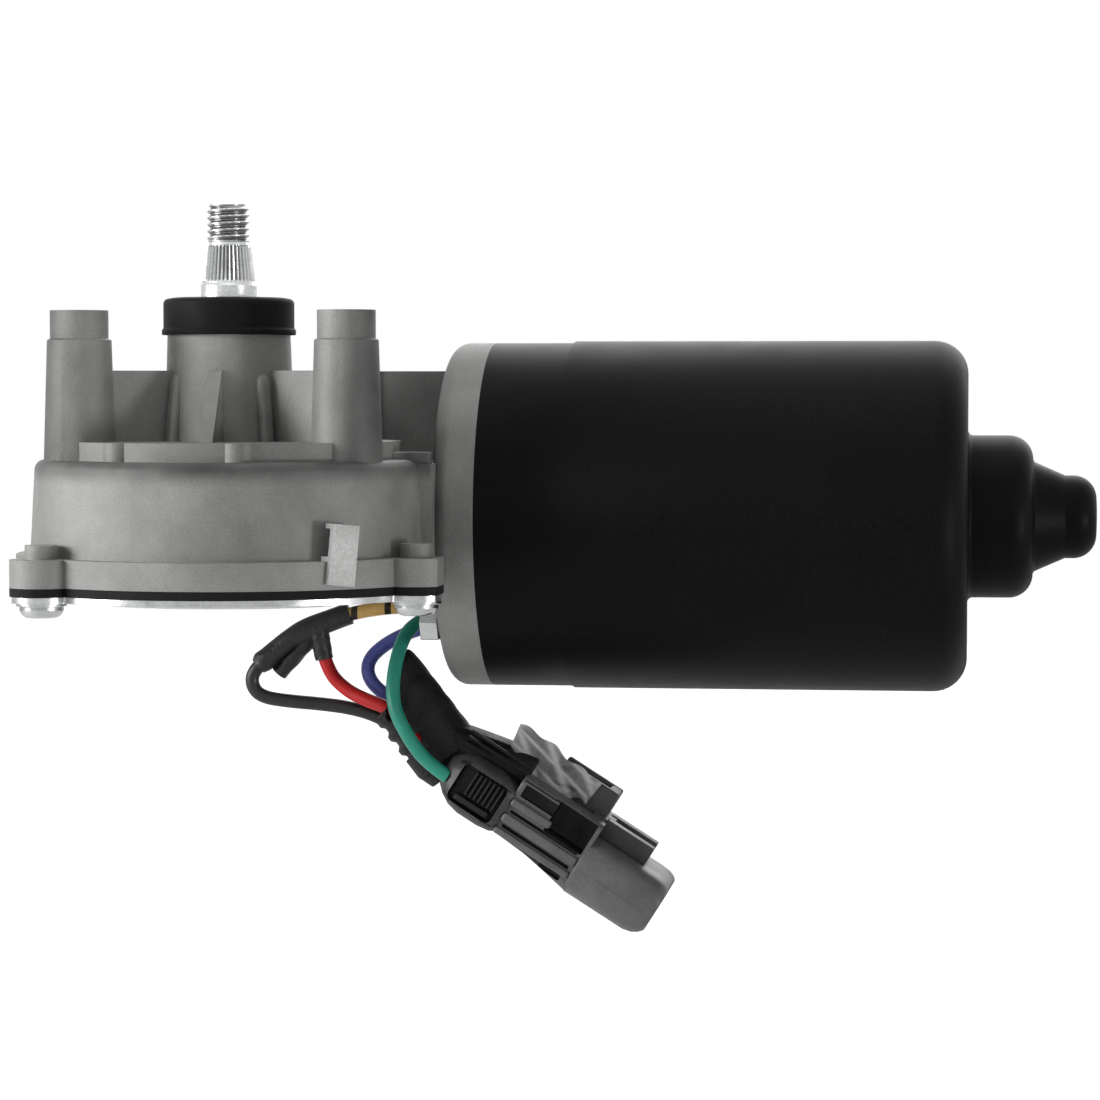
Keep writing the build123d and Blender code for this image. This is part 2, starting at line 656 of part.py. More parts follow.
def park_disc():
    """The brass disc under the wheel that the park contacts run on, notched at its park place."""
    low = AXIS_Z - WHEEL_WIDTH / 2
    disc = bar(DISC_OUTER_R, low - DISC_T, low, DISC_INNER_R)
    outer_edge = (TRACK_RADII[1] + TRACK_RADII[2]) / 2 - 0.2
    notch = block((outer_edge, DISC_OUTER_R + 1), (-PARK_HALF_L, PARK_HALF_L), (low - 2, low + 1))
    ring = bar(TRACK_RADII[1] + WINDOW_HALF_W, low - 2, low + 1, TRACK_RADII[1] - WINDOW_HALF_W)
    window = ring & block((0, DISC_OUTER_R), (-WINDOW_HALF_L, WINDOW_HALF_L), (low - 2, low + 1))
    return disc - notch - Rot(0, 0, 90) * window


def carrier_top():
    return FLANGE_Z + CARRIER_STAND


def contact_carrier():
    """The moulded block on the cover that holds the park contacts."""
    floor = COVER_Z - DOME_H + COVER_T
    plate = block((CARRIER_LEFT_X, CARRIER_RIGHT_X), (-TRACK_RADII[2] - 1.8, -TRACK_RADII[0] + 2.2),
                  (floor, carrier_top()))
    return plate & bar(dish_radius() - 1.0, floor - 1, carrier_top() + 1)


def park_contacts():
    """Three bent leaf contacts, one for each track of the disc."""
    foot = carrier_top()
    touch = AXIS_Z - WHEEL_WIDTH / 2 - DISC_T - CONTACT_GAP
    leaves = []
    for radius in TRACK_RADII:
        outline = make_face(Polyline((-17.5, 0, foot), (-11, 0, foot), (-1.2, 0, touch - 0.45), (0, 0, touch - 0.3),
                                     (1.6, 0, touch - 0.9), (1.6, 0, touch - 0.5), (0, 0, touch),
                                     (-1.4, 0, touch - 0.1), (-11.2, 0, foot + 0.4), (-17.5, 0, foot + 0.4),
                                     close=True))
        leaves.append(Pos(0, -radius, 0) * extrude(outline, 1.0, both=True))
    return leaves


# ---- worm shaft side -----------------------------------------------------------------
def worm_section():
    """The worm cut square to its axis: the axial tooth shape, wrapped once round the axis."""
    mid_half = (LEAD / 2 - TOOTH_PLAY) / 2

    def half_turn(radius):
        return 2 * pi * (mid_half - (radius - WORM_PITCH_R) * tan(radians(PRESSURE_ANGLE))) / LEAD

    def flank(sign):
        steps = 6
        points = []
        for i in range(steps + 1):
            radius = WORM_ROOT_R + (WORM_TIP_R - WORM_ROOT_R) * i / steps
            angle = pi + sign * half_turn(radius)
            points.append((radius * cos(angle), radius * sin(angle)))
        return Spline(*points)

    rising, falling = flank(1), flank(-1)
    tip = ThreePointArc(rising @ 1, (-WORM_TIP_R, 0), falling @ 1)
    root = ThreePointArc(rising @ 0, (WORM_ROOT_R, 0), falling @ 0)
    return make_face([rising, tip, falling, root])


def worm():
    """A right-hand, single-start thread whose crest faces the wheel at X = 0."""
    turns = WORM_LENGTH / LEAD
    face = worm_section().faces()[0]
    thread = Solid.extrude_linear_with_rotation(face, (0, 0, 0), (0, 0, WORM_LENGTH), 360 * turns)
    placed = Pos(0, WORM_Y, AXIS_Z) * Rot(0, 90, 0) * Rot(0, 0, 90)
    return placed * Pos(0, 0, -WORM_LENGTH / 2) * Rot(0, 0, -180 * turns) * Part(thread.wrapped)


def armature_shaft():
    """The long shaft: tip journal, worm, motor journal and the end in the can."""
    half = WORM_LENGTH / 2
    left = on_motor_axis() * turned([(0, TIP_BUSH_X - 1.5), (TIP_JOURNAL_R - 0.4, TIP_BUSH_X - 1.5),
                                     (TIP_JOURNAL_R, TIP_BUSH_X - 1.1), (TIP_JOURNAL_R, -half - 3),
                                     (WORM_ROOT_R, -half - 2), (WORM_ROOT_R, -half), (0, -half)])
    right = on_motor_axis() * turned([(0, half), (WORM_ROOT_R, half), (WORM_ROOT_R, half + 2),
                                      (MOTOR_SHAFT_R, half + 3), (MOTOR_SHAFT_R, SHAFT_END_X - 0.8),
                                      (MOTOR_SHAFT_R - 0.8, SHAFT_END_X), (0, SHAFT_END_X)])
    return worm() + left + right


def tip_bush():
    return on_motor_axis() * bar(WORM_BORE_R, TIP_BUSH_X, TIP_BUSH_X + TIP_BUSH_L,
                                 TIP_JOURNAL_R + SHAFT_PLAY)


def front_bush():
    return on_motor_axis() * bar(WORM_BORE_R, FRONT_BUSH_X, FRONT_BUSH_X + FRONT_BUSH_L,
                                 MOTOR_SHAFT_R + SHAFT_PLAY)


def adjusting_screw():
    """The hexagon-socket screw that takes up the shaft's end play."""
    inner = TIP_BUSH_X - 1.5 - AXIAL_PLAY
    body = on_motor_axis() * bar(ADJUSTER_R, TUNNEL_LEFT_X - 2.5, inner)
    socket = on_motor_axis(TUNNEL_LEFT_X - 3.5) * extrude(RegularPolygon(2.6, 6), 4.0)
    return body - socket


def armature_core():
    """The stamped core, with twelve slots for the windings."""
    plan = Circle(CORE_R)
    mouth = Pos(CORE_R - 1, 0) * Rectangle(4, SLOT_MOUTH)
    depth = CORE_R - 1.8 - SLOT_FLOOR_R
    slot = mouth + Pos(SLOT_FLOOR_R + depth / 2, 0) * RectangleRounded(depth, SLOT_W, 1.2)
    for turn in around(CORE_SLOTS):
        plan -= turn * slot
    plan -= Circle(MOTOR_SHAFT_R)
    return on_motor_axis(CORE_X) * extrude(plan, CORE_L)


def armature_windings():
    """The coil heads at both ends of the core."""
    low, high = CORE_X - COIL_END, CORE_X + CORE_L + COIL_END
    front = turned([(MOTOR_SHAFT_R + 2, low), (COIL_R - 2, low), (COIL_R, low + 3), (COIL_R, CORE_X),
                    (MOTOR_SHAFT_R + 2, CORE_X)])
    rear = turned([(MOTOR_SHAFT_R + 2, CORE_X + CORE_L), (COIL_R, CORE_X + CORE_L), (COIL_R, high - 3),
                   (COIL_R - 2, high), (MOTOR_SHAFT_R + 2, high)])
    grooves = None
    for turn in around(CORE_SLOTS, 180 / CORE_SLOTS):
        groove = turn * block((COIL_R - 1.0, COIL_R + 2), (-0.8, 0.8), (low - 1, high + 1))
        grooves = groove if grooves is None else grooves + groove
    return [on_motor_axis() * (front - grooves), on_motor_axis() * (rear - grooves)]


def commutator():
    """Copper bars on the shaft, parted by narrow slots."""
    body = bar(COMMUTATOR_R, COMMUTATOR_X, COMMUTATOR_X + COMMUTATOR_L, MOTOR_SHAFT_R)
    riser = bar(COMMUTATOR_R + 1.4, COMMUTATOR_X + COMMUTATOR_L - 2, COMMUTATOR_X + COMMUTATOR_L, MOTOR_SHAFT_R)
    body += riser
    for turn in around(COMMUTATOR_BARS):
        body -= turn * block((COMMUTATOR_R - 0.9, COMMUTATOR_R + 3), (-0.3, 0.3),
                             (COMMUTATOR_X - 1, COMMUTATOR_X + COMMUTATOR_L + 1))
    return on_motor_axis() * body


# ---- can -----------------------------------------------------------------------------
def can_profile(inset):
    """The drawn can's outline, moved inwards by inset."""
    wide = CAN_R + CAN_STEP - inset
    open_r = CAN_R - inset
    end = CAN_END_X - inset
    boss = END_BOSS_X - inset
    tip = TIP_X - inset
    corner = CAN_CORNER - inset
    corners = [(0, CAN_X), (open_r, CAN_X), (open_r, CAN_STEP_X), (wide, CAN_STEP_X + 0.5), (wide, end),
               (END_BOSS_R - inset, end), (END_BOSS_R - inset, boss), (TIP_CONE_R - inset, boss),
               (TIP_R - inset, TIP_CONE_X), (TIP_R - inset, tip), (0, tip)]
    radii = [0, 0, 0, 0, corner, 1.0 + inset, END_BOSS_CORNER - inset, 0, 1.0, TIP_CORNER - inset, 0]
    return corners, radii


def lug_block(place, reach):
    """A block from near the screw out to the can's wall, at one flange screw."""
    centre = place.position
    angle = degrees(atan2(centre.Z - AXIS_Z, centre.Y - WORM_Y))
    radial = Pos(0, WORM_Y, AXIS_Z) * Rot(angle, 0, 0)
    return radial * block((LUG_X, BOLT_X), (FLANGE_BOLT_CIRCLE_R - 3.6, reach), (-4.4, 4.4))


def motor_can():
    """The deep-drawn can with its bearing seat and thrust tip, and two inside lugs for the screws."""
    body = turned(*can_profile(0.0)) - turned(*can_profile(CAN_WALL))
    can = on_motor_axis() * (body - bar(CAN_R - CAN_WALL, CAN_X - 1, CAN_X + 1))
    for place in flange_bolt_places():
        can += lug_block(place, CAN_R - CAN_WALL / 2)
        can -= place * bar(FLANGE_BOLT_R, LUG_X - 1, BOLT_X + 1)
    return can


def flange_screws():
    """Two hexagon-head screws that pull the can on to the housing."""
    head = Pos(0, 0, MOTOR_FLANGE_X - BOLT_HEAD_H) * extrude(RegularPolygon(BOLT_HEAD_R, 6, rotation=30), BOLT_HEAD_H)
    shank = bar(FLANGE_BOLT_R, MOTOR_FLANGE_X, BOLT_X - 0.5)
    return [place * (head + shank) for place in flange_bolt_places()]


def magnets():
    """Two ferrite arcs bonded inside the can."""
    outer = CAN_R + CAN_STEP - CAN_WALL
    inner = outer - MAGNET_T
    low = CORE_X - MAGNET_OVERHANG
    length = CORE_L + 2 * MAGNET_OVERHANG
    half = radians(MAGNET_ARC / 2)
    arcs = []
    for turn in around(2, 90.0):
        ends = [(r * cos(half), r * sin(half)) for r in (inner, outer)]
        mirrored = [(x, -y) for x, y in ends]
        outline = make_face([ThreePointArc(mirrored[0], (inner, 0), ends[0]), Line(ends[0], ends[1]),
                             ThreePointArc(ends[1], (outer, 0), mirrored[1]), Line(mirrored[1], mirrored[0])])
        arcs.append(on_motor_axis(low) * turn * extrude(outline, length))
    return arcs


def rear_bush():
    return on_motor_axis() * bar(REAR_BUSH_R, REAR_BUSH_X, REAR_BUSH_X + REAR_BUSH_L,
                                 MOTOR_SHAFT_R + SHAFT_PLAY)


def bush_retainer():
    """The ring that holds the rear bush in the can's bearing seat."""
    return on_motor_axis() * bar(END_BOSS_R - CAN_WALL, REAR_BUSH_X + 1.0, REAR_BUSH_X + 4.0, REAR_BUSH_R)


def thrust_pad():
    """The pad in the can's tip that takes the shaft's end thrust."""
    low = SHAFT_END_X + AXIAL_PLAY
    return on_motor_axis() * bar(THRUST_PAD_R, low, TIP_X - CAN_WALL)


# ---- brush gear ----------------------------------------------------------------------
def card_top_x():
    return RECESS_FLOOR_X + BRUSH_CARD_T


def brush_card():
    """The moulded card behind the flange that carries the brush holders."""
    card = bar(RECESS_R - 0.3, RECESS_FLOOR_X, card_top_x(), MOTOR_SHAFT_R + 3)
    return on_motor_axis() * card


def holder_place(angle):
    return on_motor_axis() * Rot(0, 0, angle)


def brush_start():
    return COMMUTATOR_R + BRUSH_PLAY


def brushes():
    """Three carbon blocks on the commutator: common, slow speed and fast speed."""
    blocks = []
    for angle in BRUSH_ANGLES:
        body = block((brush_start(), brush_start() + BRUSH_L), (-BRUSH_T / 2, BRUSH_T / 2),
                     (BRUSH_X - BRUSH_W / 2, BRUSH_X + BRUSH_W / 2))
        curve = bar(brush_start(), BRUSH_X - BRUSH_W, BRUSH_X + BRUSH_W)
        blocks.append(holder_place(angle) * (body - curve))
    return blocks


def brush_holders():
    """Three sheet-brass boxes standing on the card, open towards the commutator."""
    boxes = []
    start = COMMUTATOR_R + 2.4
    end = brush_start() + BRUSH_L + SPRING_SPACE
    for angle in BRUSH_ANGLES:
        outer = block((start, end), (-BRUSH_T / 2 - HOLDER_WALL, BRUSH_T / 2 + HOLDER_WALL),
                      (card_top_x(), BRUSH_X + BRUSH_W / 2 + HOLDER_WALL))
        inner = block((start - 1, end - HOLDER_WALL), (-BRUSH_T / 2, BRUSH_T / 2),
                      (BRUSH_X - BRUSH_W / 2, BRUSH_X + BRUSH_W / 2))
        boxes.append(holder_place(angle) * (outer - inner))
    return boxes


def brush_springs():
    """Coil springs behind the brushes, as short tubes of the coil's size."""
    low = brush_start() + BRUSH_L
    high = low + SPRING_SPACE - HOLDER_WALL
    springs = []
    for angle in BRUSH_ANGLES:
        tube = bar(SPRING_R, low, high, SPRING_R - 2 * SPRING_WIRE_R)
        springs.append(holder_place(angle) * Pos(0, 0, BRUSH_X) * Rot(0, 90, 0) * tube)
    return springs


# ---- leads, conduit and connector ----------------------------------------------------
def lead_grommet():
    """The rubber grommet through the motor flange, with a collar on its outer face."""
    body = bar(GROMMET_NECK_R, MOTOR_FLANGE_X, RECESS_FLOOR_X)
    collar = bar(GROMMET_R, GROMMET_FACE_X, MOTOR_FLANGE_X)
    grommet = grommet_place() * (body + collar)
    for route in (GREEN_ROUTE, BLUE_ROUTE, YELLOW_ROUTE):
        grommet -= tube_between(route[0], route[1], WIRE_R + SLEEVE_PLAY)
    return grommet


def splice_sleeve():
    """Shrink sleeve over the splice: the main run, a short tail, and the branch of the red lead."""
    mouth, bend, joint = YELLOW_ROUTE[3], YELLOW_ROUTE[4], YELLOW_ROUTE[5]
    sleeve = tube_between(mouth, bend, SLEEVE_R) + tube_between(bend, joint, SLEEVE_R)
    sleeve += Pos(*bend) * Sphere(SLEEVE_R)
    sleeve += tube_between(*SLEEVE_TAIL, SLEEVE_R * 0.86)
    sleeve += tube_between(*SLEEVE_BRANCH, SLEEVE_R * 0.95)
    for route in (YELLOW_ROUTE, RED_ROUTE):
        sleeve -= along_route(route, WIRE_R + SLEEVE_PLAY)[0]
    return sleeve


def conduit_place():
    """Along the conduit, from its mouth."""
    return Pos(*CONDUIT_MOUTH) * Rot(0, 90 + CONDUIT_SLOPE, 0)


def conduit():
    """A short length of ribbed conduit round the leads."""
    inner = CONDUIT_INNER_R
    outer = inner + CONDUIT_WALL
    crest = outer + 0.7
    pitch = CONDUIT_L / CONDUIT_RINGS
    outline = [(inner, 0), (outer, 0)]
    for i in range(CONDUIT_RINGS):
        base = i * pitch
        outline += [(outer, base + 0.25 * pitch), (crest, base + 0.35 * pitch),
                    (crest, base + 0.75 * pitch), (outer, base + 0.85 * pitch)]
    outline += [(outer, CONDUIT_L), (inner, CONDUIT_L)]
    return conduit_place() * turned(outline)


def connector_place():
    return Pos(*CONNECTOR_ORIGIN) * Rot(0, CONNECTOR_SLOPE, 0)


def rounded_bar(u, half_w, v, corner):
    """A bar along the connector with rounded edges, between two stations."""
    middle = (v[0] + v[1]) / 2
    section = Plane.YZ * Pos(0, middle) * RectangleRounded(2 * half_w, v[1] - v[0], corner)
    return Pos(u[0], 0, 0) * extrude(section, u[1] - u[0])


def rear_cap():
    """The cap that guides the leads into the connector, with a collar for the conduit."""
    cap = rounded_bar((0, REAR_CAP_L), CONNECTOR_HALF_W, (REAR_CAP_BOTTOM, REAR_CAP_TOP), 3.0)
    cap = chamfer(cap.edges().filter_by(Axis.Y).group_by(Axis.X)[0], 1.8)
    window = block(WINDOW_U, (-CONNECTOR_HALF_W - 1, -CONNECTOR_HALF_W + WINDOW_DEPTH), WINDOW_V)
    collar_start = CONDUIT_L - CONDUIT_COLLAR_L
    collar = bar(CONDUIT_INNER_R, collar_start, collar_start + 9.0)
    return connector_place() * (cap - window) + conduit_place() * collar


def lock_insert():
    """The ribbed lock in the window of the rear cap."""
    base = block(WINDOW_U, (-CONNECTOR_HALF_W + 0.3, -CONNECTOR_HALF_W + WINDOW_DEPTH), WINDOW_V)
    pitch = (WINDOW_U[1] - WINDOW_U[0] - 1.4) / (LOCK_RIBS - 1)
    for i in range(LOCK_RIBS):
        middle = WINDOW_U[0] + 0.7 + i * pitch
        base += block((middle - 0.3, middle + 0.3), (-CONNECTOR_HALF_W - 0.5, -CONNECTOR_HALF_W + 0.6),
                      (WINDOW_V[0] + 0.8, WINDOW_V[1] - 0.8))
    return connector_place() * base


def connector_body():
    """The male housing: a guide body, and a shroud round the blades."""
    body_half_w = CONNECTOR_HALF_W - BODY_INSET
    body = rounded_bar((REAR_CAP_L, SHROUD_U), body_half_w, (BODY_BOTTOM, BODY_TOP), 1.5)
    shroud = rounded_bar((SHROUD_U, SHROUD_END_U), CONNECTOR_HALF_W, (-SHROUD_HALF_H, SHROUD_HALF_H),
                         SHROUD_CORNER)
    step = rounded_bar((SHROUD_U - STEP_L, SHROUD_U), CONNECTOR_HALF_W - 1.0,
                       (-SHROUD_HALF_H + 1.2, SHROUD_HALF_H), SHROUD_CORNER - 1.0)
    cavity = rounded_bar((SHROUD_U + SHROUD_FLOOR, SHROUD_END_U + 1), CONNECTOR_HALF_W - SHROUD_WALL,
                         (-SHROUD_HALF_H + SHROUD_WALL, SHROUD_HALF_H - SHROUD_WALL),
                         SHROUD_CORNER - SHROUD_WALL)
    for v in GROOVE_HEIGHTS:
        for side in (-1, 1):
            edges = sorted((side * (body_half_w - GROOVE_DEPTH), side * (body_half_w + 1)))
            body -= block(GROOVE_U, edges, (v, v + GROOVE_W))
    solid = body + step + shroud - cavity
    for w in pin_stations():
        solid -= block((SHROUD_U - PIN_ROOT_L, SHROUD_U + SHROUD_FLOOR + 1), (w - PIN_W / 2, w + PIN_W / 2),
                       (-PIN_T / 2, PIN_T / 2))
    return connector_place() * solid


def latch_rails():
    """The two-stage rails on top that the mating half's latch rides on."""
    top = SHROUD_HALF_H + RAIL_H
    across = (-RAIL_HALF_W, RAIL_HALF_W)
    low = block((SHROUD_U, SHROUD_U + RAIL_L), across, (SHROUD_HALF_H, top))
    low += block((SHROUD_U - RAIL_LIP_L, SHROUD_U + 0.5), across, (BODY_TOP, top))
    low -= block((SHROUD_U + 1.0, SHROUD_U + RAIL_L + 1), (-RAIL_SLOT_HALF_W, RAIL_SLOT_HALF_W),
                 (SHROUD_HALF_H + RAIL_SLOT_FLOOR, top + 1))
    channel = HIGH_RAIL_HALF_W - HIGH_RAIL_WALL
    high_top = BODY_TOP + HIGH_RAIL_H
    high = block(HIGH_RAIL_U, (-HIGH_RAIL_HALF_W, HIGH_RAIL_HALF_W), (BODY_TOP, high_top))
    high -= block((HIGH_RAIL_U[0] - 1, HIGH_RAIL_U[1] - HIGH_RAIL_STOP), (-channel, channel),
                  (BODY_TOP + HIGH_RAIL_FLOOR, high_top + 1))
    high = chamfer(high.edges().filter_by(Axis.Y).group_by(Axis.Z)[-1], 1.0)
    return connector_place() * (low + high)


def pin_stations():
    return [PIN_PITCH * (i - (PIN_COUNT - 1) / 2) for i in range(PIN_COUNT)]


def connector_blades():
    """The tinned blades in the shroud."""
    return [connector_place() * block((SHROUD_U - PIN_ROOT_L, PIN_TIP_U), (w - PIN_W / 2, w + PIN_W / 2),
                                      (-PIN_T / 2, PIN_T / 2)) for w in pin_stations()]


# ---- build ---------------------------------------------------------------------------
def build():
    return {
        "gear_housing": gear_housing(),
        "cover_gasket": cover_gasket(),
        "cover_plate": cover_plate(),
        "cover_screws": cover_screws(),
        "earth_tab": earth_tab(),
        "upper_shaft_bush": upper_bush(),
        "lower_shaft_bush": lower_bush(),
        "shaft_washer": shaft_washer(),
        "thrust_washer": thrust_washer(),
        "seal_cap": seal_cap(),
        "output_shaft": output_shaft(),
        "shaft_clip": shaft_clip(),
        "wheel_hub": wheel_hub(),
        "worm_wheel": worm_wheel(),
        "park_disc": park_disc(),
        "contact_carrier": contact_carrier(),
        "park_contacts": park_contacts(),
        "armature_shaft": armature_shaft(),
        "armature_core": armature_core(),
        "armature_windings": armature_windings(),
        "commutator": commutator(),
        "tip_bush": tip_bush(),
        "front_bush": front_bush(),
        "adjusting_screw": adjusting_screw(),
        "motor_can": motor_can(),
        "flange_screws": flange_screws(),
        "magnets": magnets(),
        "rear_bush": rear_bush(),
        "bush_retainer": bush_retainer(),
        "thrust_pad": thrust_pad(),
        "brush_card": brush_card(),
        "brush_holders": brush_holders(),
        "brushes": brushes(),
        "brush_springs": brush_springs(),
        "lead_grommet": lead_grommet(),
        "green_lead": lead(GREEN_ROUTE, "green lead"),
        "blue_lead": lead(BLUE_ROUTE, "blue lead"),
        "yellow_lead": lead(YELLOW_ROUTE, "yellow lead"),
        "black_lead": lead(BLACK_ROUTE, "black lead"),
        "red_lead": lead(RED_ROUTE, "red lead"),
        "splice_sleeve": splice_sleeve(),
        "lead_conduit": conduit(),
        "connector_rear_cap": rear_cap(),
        "connector_lock": lock_insert(),
        "connector_body": connector_body(),
        "connector_rails": latch_rails(),
        "connector_blades": connector_blades(),
    }


os.makedirs("parts", exist_ok=True)
for node, shape in build().items():
    whole = Compound(children=shape) if isinstance(shape, list) else shape
    export_step(whole, f"parts/{node}.step")
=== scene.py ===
"""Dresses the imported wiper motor: finishes for every node, threads, screws, leads and plug."""
import json
from contextlib import contextmanager
from math import atan2, cos, pi, radians, sin, tan

import bmesh
import bpy
import numpy as np
from bpy.props import FloatProperty, FloatVectorProperty, IntProperty, PointerProperty
from mathutils import Matrix, Vector

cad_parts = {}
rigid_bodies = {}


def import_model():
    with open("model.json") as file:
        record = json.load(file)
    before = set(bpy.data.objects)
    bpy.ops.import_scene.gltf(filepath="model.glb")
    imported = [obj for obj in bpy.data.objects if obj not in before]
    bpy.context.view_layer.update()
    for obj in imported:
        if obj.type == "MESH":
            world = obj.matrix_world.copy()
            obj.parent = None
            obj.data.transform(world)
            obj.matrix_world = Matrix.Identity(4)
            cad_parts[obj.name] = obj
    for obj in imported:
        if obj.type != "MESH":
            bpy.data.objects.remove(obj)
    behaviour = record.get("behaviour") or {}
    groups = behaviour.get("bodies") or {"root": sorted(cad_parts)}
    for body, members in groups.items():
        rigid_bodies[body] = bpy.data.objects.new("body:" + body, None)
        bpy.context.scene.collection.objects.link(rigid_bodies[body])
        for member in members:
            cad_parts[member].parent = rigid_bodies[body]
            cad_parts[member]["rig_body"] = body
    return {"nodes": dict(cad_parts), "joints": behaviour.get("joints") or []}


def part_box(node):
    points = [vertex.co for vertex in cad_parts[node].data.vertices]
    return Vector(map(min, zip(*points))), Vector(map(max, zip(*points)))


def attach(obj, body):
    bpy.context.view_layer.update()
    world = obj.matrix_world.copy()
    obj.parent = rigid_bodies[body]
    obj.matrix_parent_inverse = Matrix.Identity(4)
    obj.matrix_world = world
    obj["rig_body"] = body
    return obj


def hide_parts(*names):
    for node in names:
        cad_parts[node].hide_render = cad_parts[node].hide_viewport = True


bl_info = {
    "name": "Wiper motor dressing",
    "version": (1, 0, 0),
    "blender": (4, 5, 0),
    "location": "3D View > Sidebar > Wiper Motor",
    "description": "Finishes, threads, screws, leads and plug for a wiper motor",
    "category": "Add Mesh",
}

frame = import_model()

# Shapes are worked out in millimetres and stored in metres.
MM = 0.001
# Points nearer than this are one, and shorter edges are dropped, both in metres.
MERGE_DISTANCE, FLAT_DISTANCE = 2e-6, 1e-7
# Faces within the first angle are joined, and edges over the second are rounded, in degrees.
FLAT_ANGLE, BEVEL_ANGLE = 0.6, 38
# How far outside a box a face still counts as inside it.
BOX_MARGIN = 0.05
COAT_ROUGHNESS = 0.18
# The yellow lead's dark bands: their distance, and the level of a sine above which it is dark.
TRACER_PITCH, TRACER_LEVEL = 6.2, 0.82
# The two cover screws at the back, beside the worm barrel: (x, y).
BACK_SCREWS = ((-31, 43.5), (31, 43.5))
MOTOR_Y, MOTOR_Z = (value / MM for joint in frame["joints"] if joint["name"] == "armature_spin"
                    for value in joint["pos_m"][1:])


def node_heights(node):
    """A node's lowest and highest Z, in millimetres."""
    return [corner[2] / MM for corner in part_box(node)]


# ---- settings
def amount(name, value, note, unit="NONE"):
    """A number that is never below zero."""
    return FloatProperty(name=name, description=note, default=value, min=0, precision=5, unit=unit)


def length(name, value, note):
    """A length: its default is given in millimetres and kept in metres."""
    return amount(name, value * MM, note, "LENGTH")


def colour(name, value, place):
    """The colour of a place, in linear light."""
    return FloatVectorProperty(name=name, description="Colour of " + place, default=value,
                               subtype="COLOR", size=3, min=0, max=1)


class CastingSettings(bpy.types.PropertyGroup):
    """Sizes and colours of the cast housing."""
    edge: length("Edge rounding", 0.35, "Rounding of the casting's edges")
    colour: colour("Casting colour", (0.215, 0.213, 0.207), "the cast surface")


class CanSettings(bpy.types.PropertyGroup):
    """Sizes and colours of the motor can."""
    radius: length("Radius", 33.6, "Radius of the can at its open end")
    step: length("Seam step", 0.35, "Height of the step behind the open end")
    colour: colour("Paint colour", (0.0045, 0.0045, 0.0047), "the can's paint")


class ShaftSettings(bpy.types.PropertyGroup):
    """Sizes of the output shaft's thread and serrations."""
    pitch: length("Thread pitch", 1.25, "Pitch of the thread at the shaft's end")
    depth: length("Thread depth", 0.62, "Depth of that thread")
    serrations: IntProperty(name="Serrations", description="Serrations round the cone",
                            default=36, min=12, max=60)
    serration_depth: length("Serration depth", 0.42, "Depth of a serration")


class LeadSettings(bpy.types.PropertyGroup):
    """Size and colours of the leads."""
    radius: length("Lead radius", 1.35, "Outside radius of a lead")
    green: colour("Green", (0.016, 0.215, 0.15), "the green lead")
    blue: colour("Blue", (0.105, 0.125, 0.44), "the blue lead")
    yellow: colour("Yellow", (0.8, 0.5, 0.17), "the yellow lead")
    red: colour("Red", (0.43, 0.006, 0.007), "the red lead")
    black: colour("Black", (0.017, 0.017, 0.018), "the black lead")


class PlugSettings(bpy.types.PropertyGroup):
    """Colours of the conduit and the plug."""
    plug: colour("Plug colour", (0.088, 0.089, 0.091), "the plug's plastic")
    conduit: colour("Conduit colour", (0.012, 0.012, 0.0125), "the conduit")
    film: colour("Film colour", (0.105, 0.105, 0.105), "the crumpled film")


class StageSettings(bpy.types.PropertyGroup):
    """The floor's place and the strength of the lights."""
    drop: length("Floor drop", 290, "How far the floor lies below the shaft's mounting face")
    side: amount("Key lamp", 11, "Power of the lamp on the left", "POWER")
    top: amount("Other lamps", 3, "Power of the right lamp, which the others follow", "POWER")
    world: amount("World", 0.25, "Strength of the world's light")


# ---- shapes
def rounded(corners, radii, steps=6):
    """A line through the corners, each cut to a tangent arc: the arc's centre lies on the
    corner's bisector at radius / sin(half angle), and its ends at radius / tan(half angle)."""
    corners = np.asarray(corners, float)
    parts = []
    for i, radius in enumerate(radii):
        here, before, after = corners[i], corners[i - 1], corners[(i + 1) % len(corners)]
        if radius <= 0:
            parts.append(here[None])
            continue
        u = (before - here) / np.linalg.norm(before - here)
        v = (after - here) / np.linalg.norm(after - here)
        half = np.arccos(np.clip(u @ v, -1, 1)) / 2
        centre = here + (u + v) / np.linalg.norm(u + v) * radius / sin(half)
        start, end = here + u * radius / tan(half), here + v * radius / tan(half)
        first = atan2(*(start - centre)[::-1])
        turn = (atan2(*(end - centre)[::-1]) - first + pi) % (2 * pi) - pi
        angle = first + turn * np.linspace(0, 1, steps + 1)
        parts.append(centre + radius * np.stack([np.cos(angle), np.sin(angle)], 1))
    return np.concatenate(parts)


def circle(count):
    """Evenly spaced angles round a whole turn, from 0."""
    return np.linspace(0, 2 * pi, count, endpoint=False)


def spun(r, z, angle):
    """Radii and heights turned about Z: (r cos a, r sin a, z) for each angle a."""
    return np.stack([r * np.cos(angle), r * np.sin(angle), z + 0 * angle], 2)


def turned(corners, radii, around, steps=6):
    """A rounded line of (radius, height) corners turned about Z."""
    profile = rounded(corners, radii, steps)
    return spun(profile[:, :1], profile[:, 1:], circle(around))


def ring_of(half_w, low, high, corner, count=12):
    """A rounded rectangle of half width half_w between two heights, as (w, v) points."""
    corner = min(corner, half_w * 0.999, (high - low) / 2 * 0.999)
    box = [(-half_w, low), (half_w, low), (half_w, high), (-half_w, high)]
    return rounded(box, [corner] * 4, count)


def carried(stations, count=12):
    """Rounded rectangles carried along X: each station is (u, half width, low, high, corner)."""
    rows = []
    for u, half_w, low, high, corner in stations:
        ring = ring_of(half_w, low, high, corner, count)
        rows.append(np.column_stack([np.full(len(ring), u), ring]))
    return np.stack(rows)


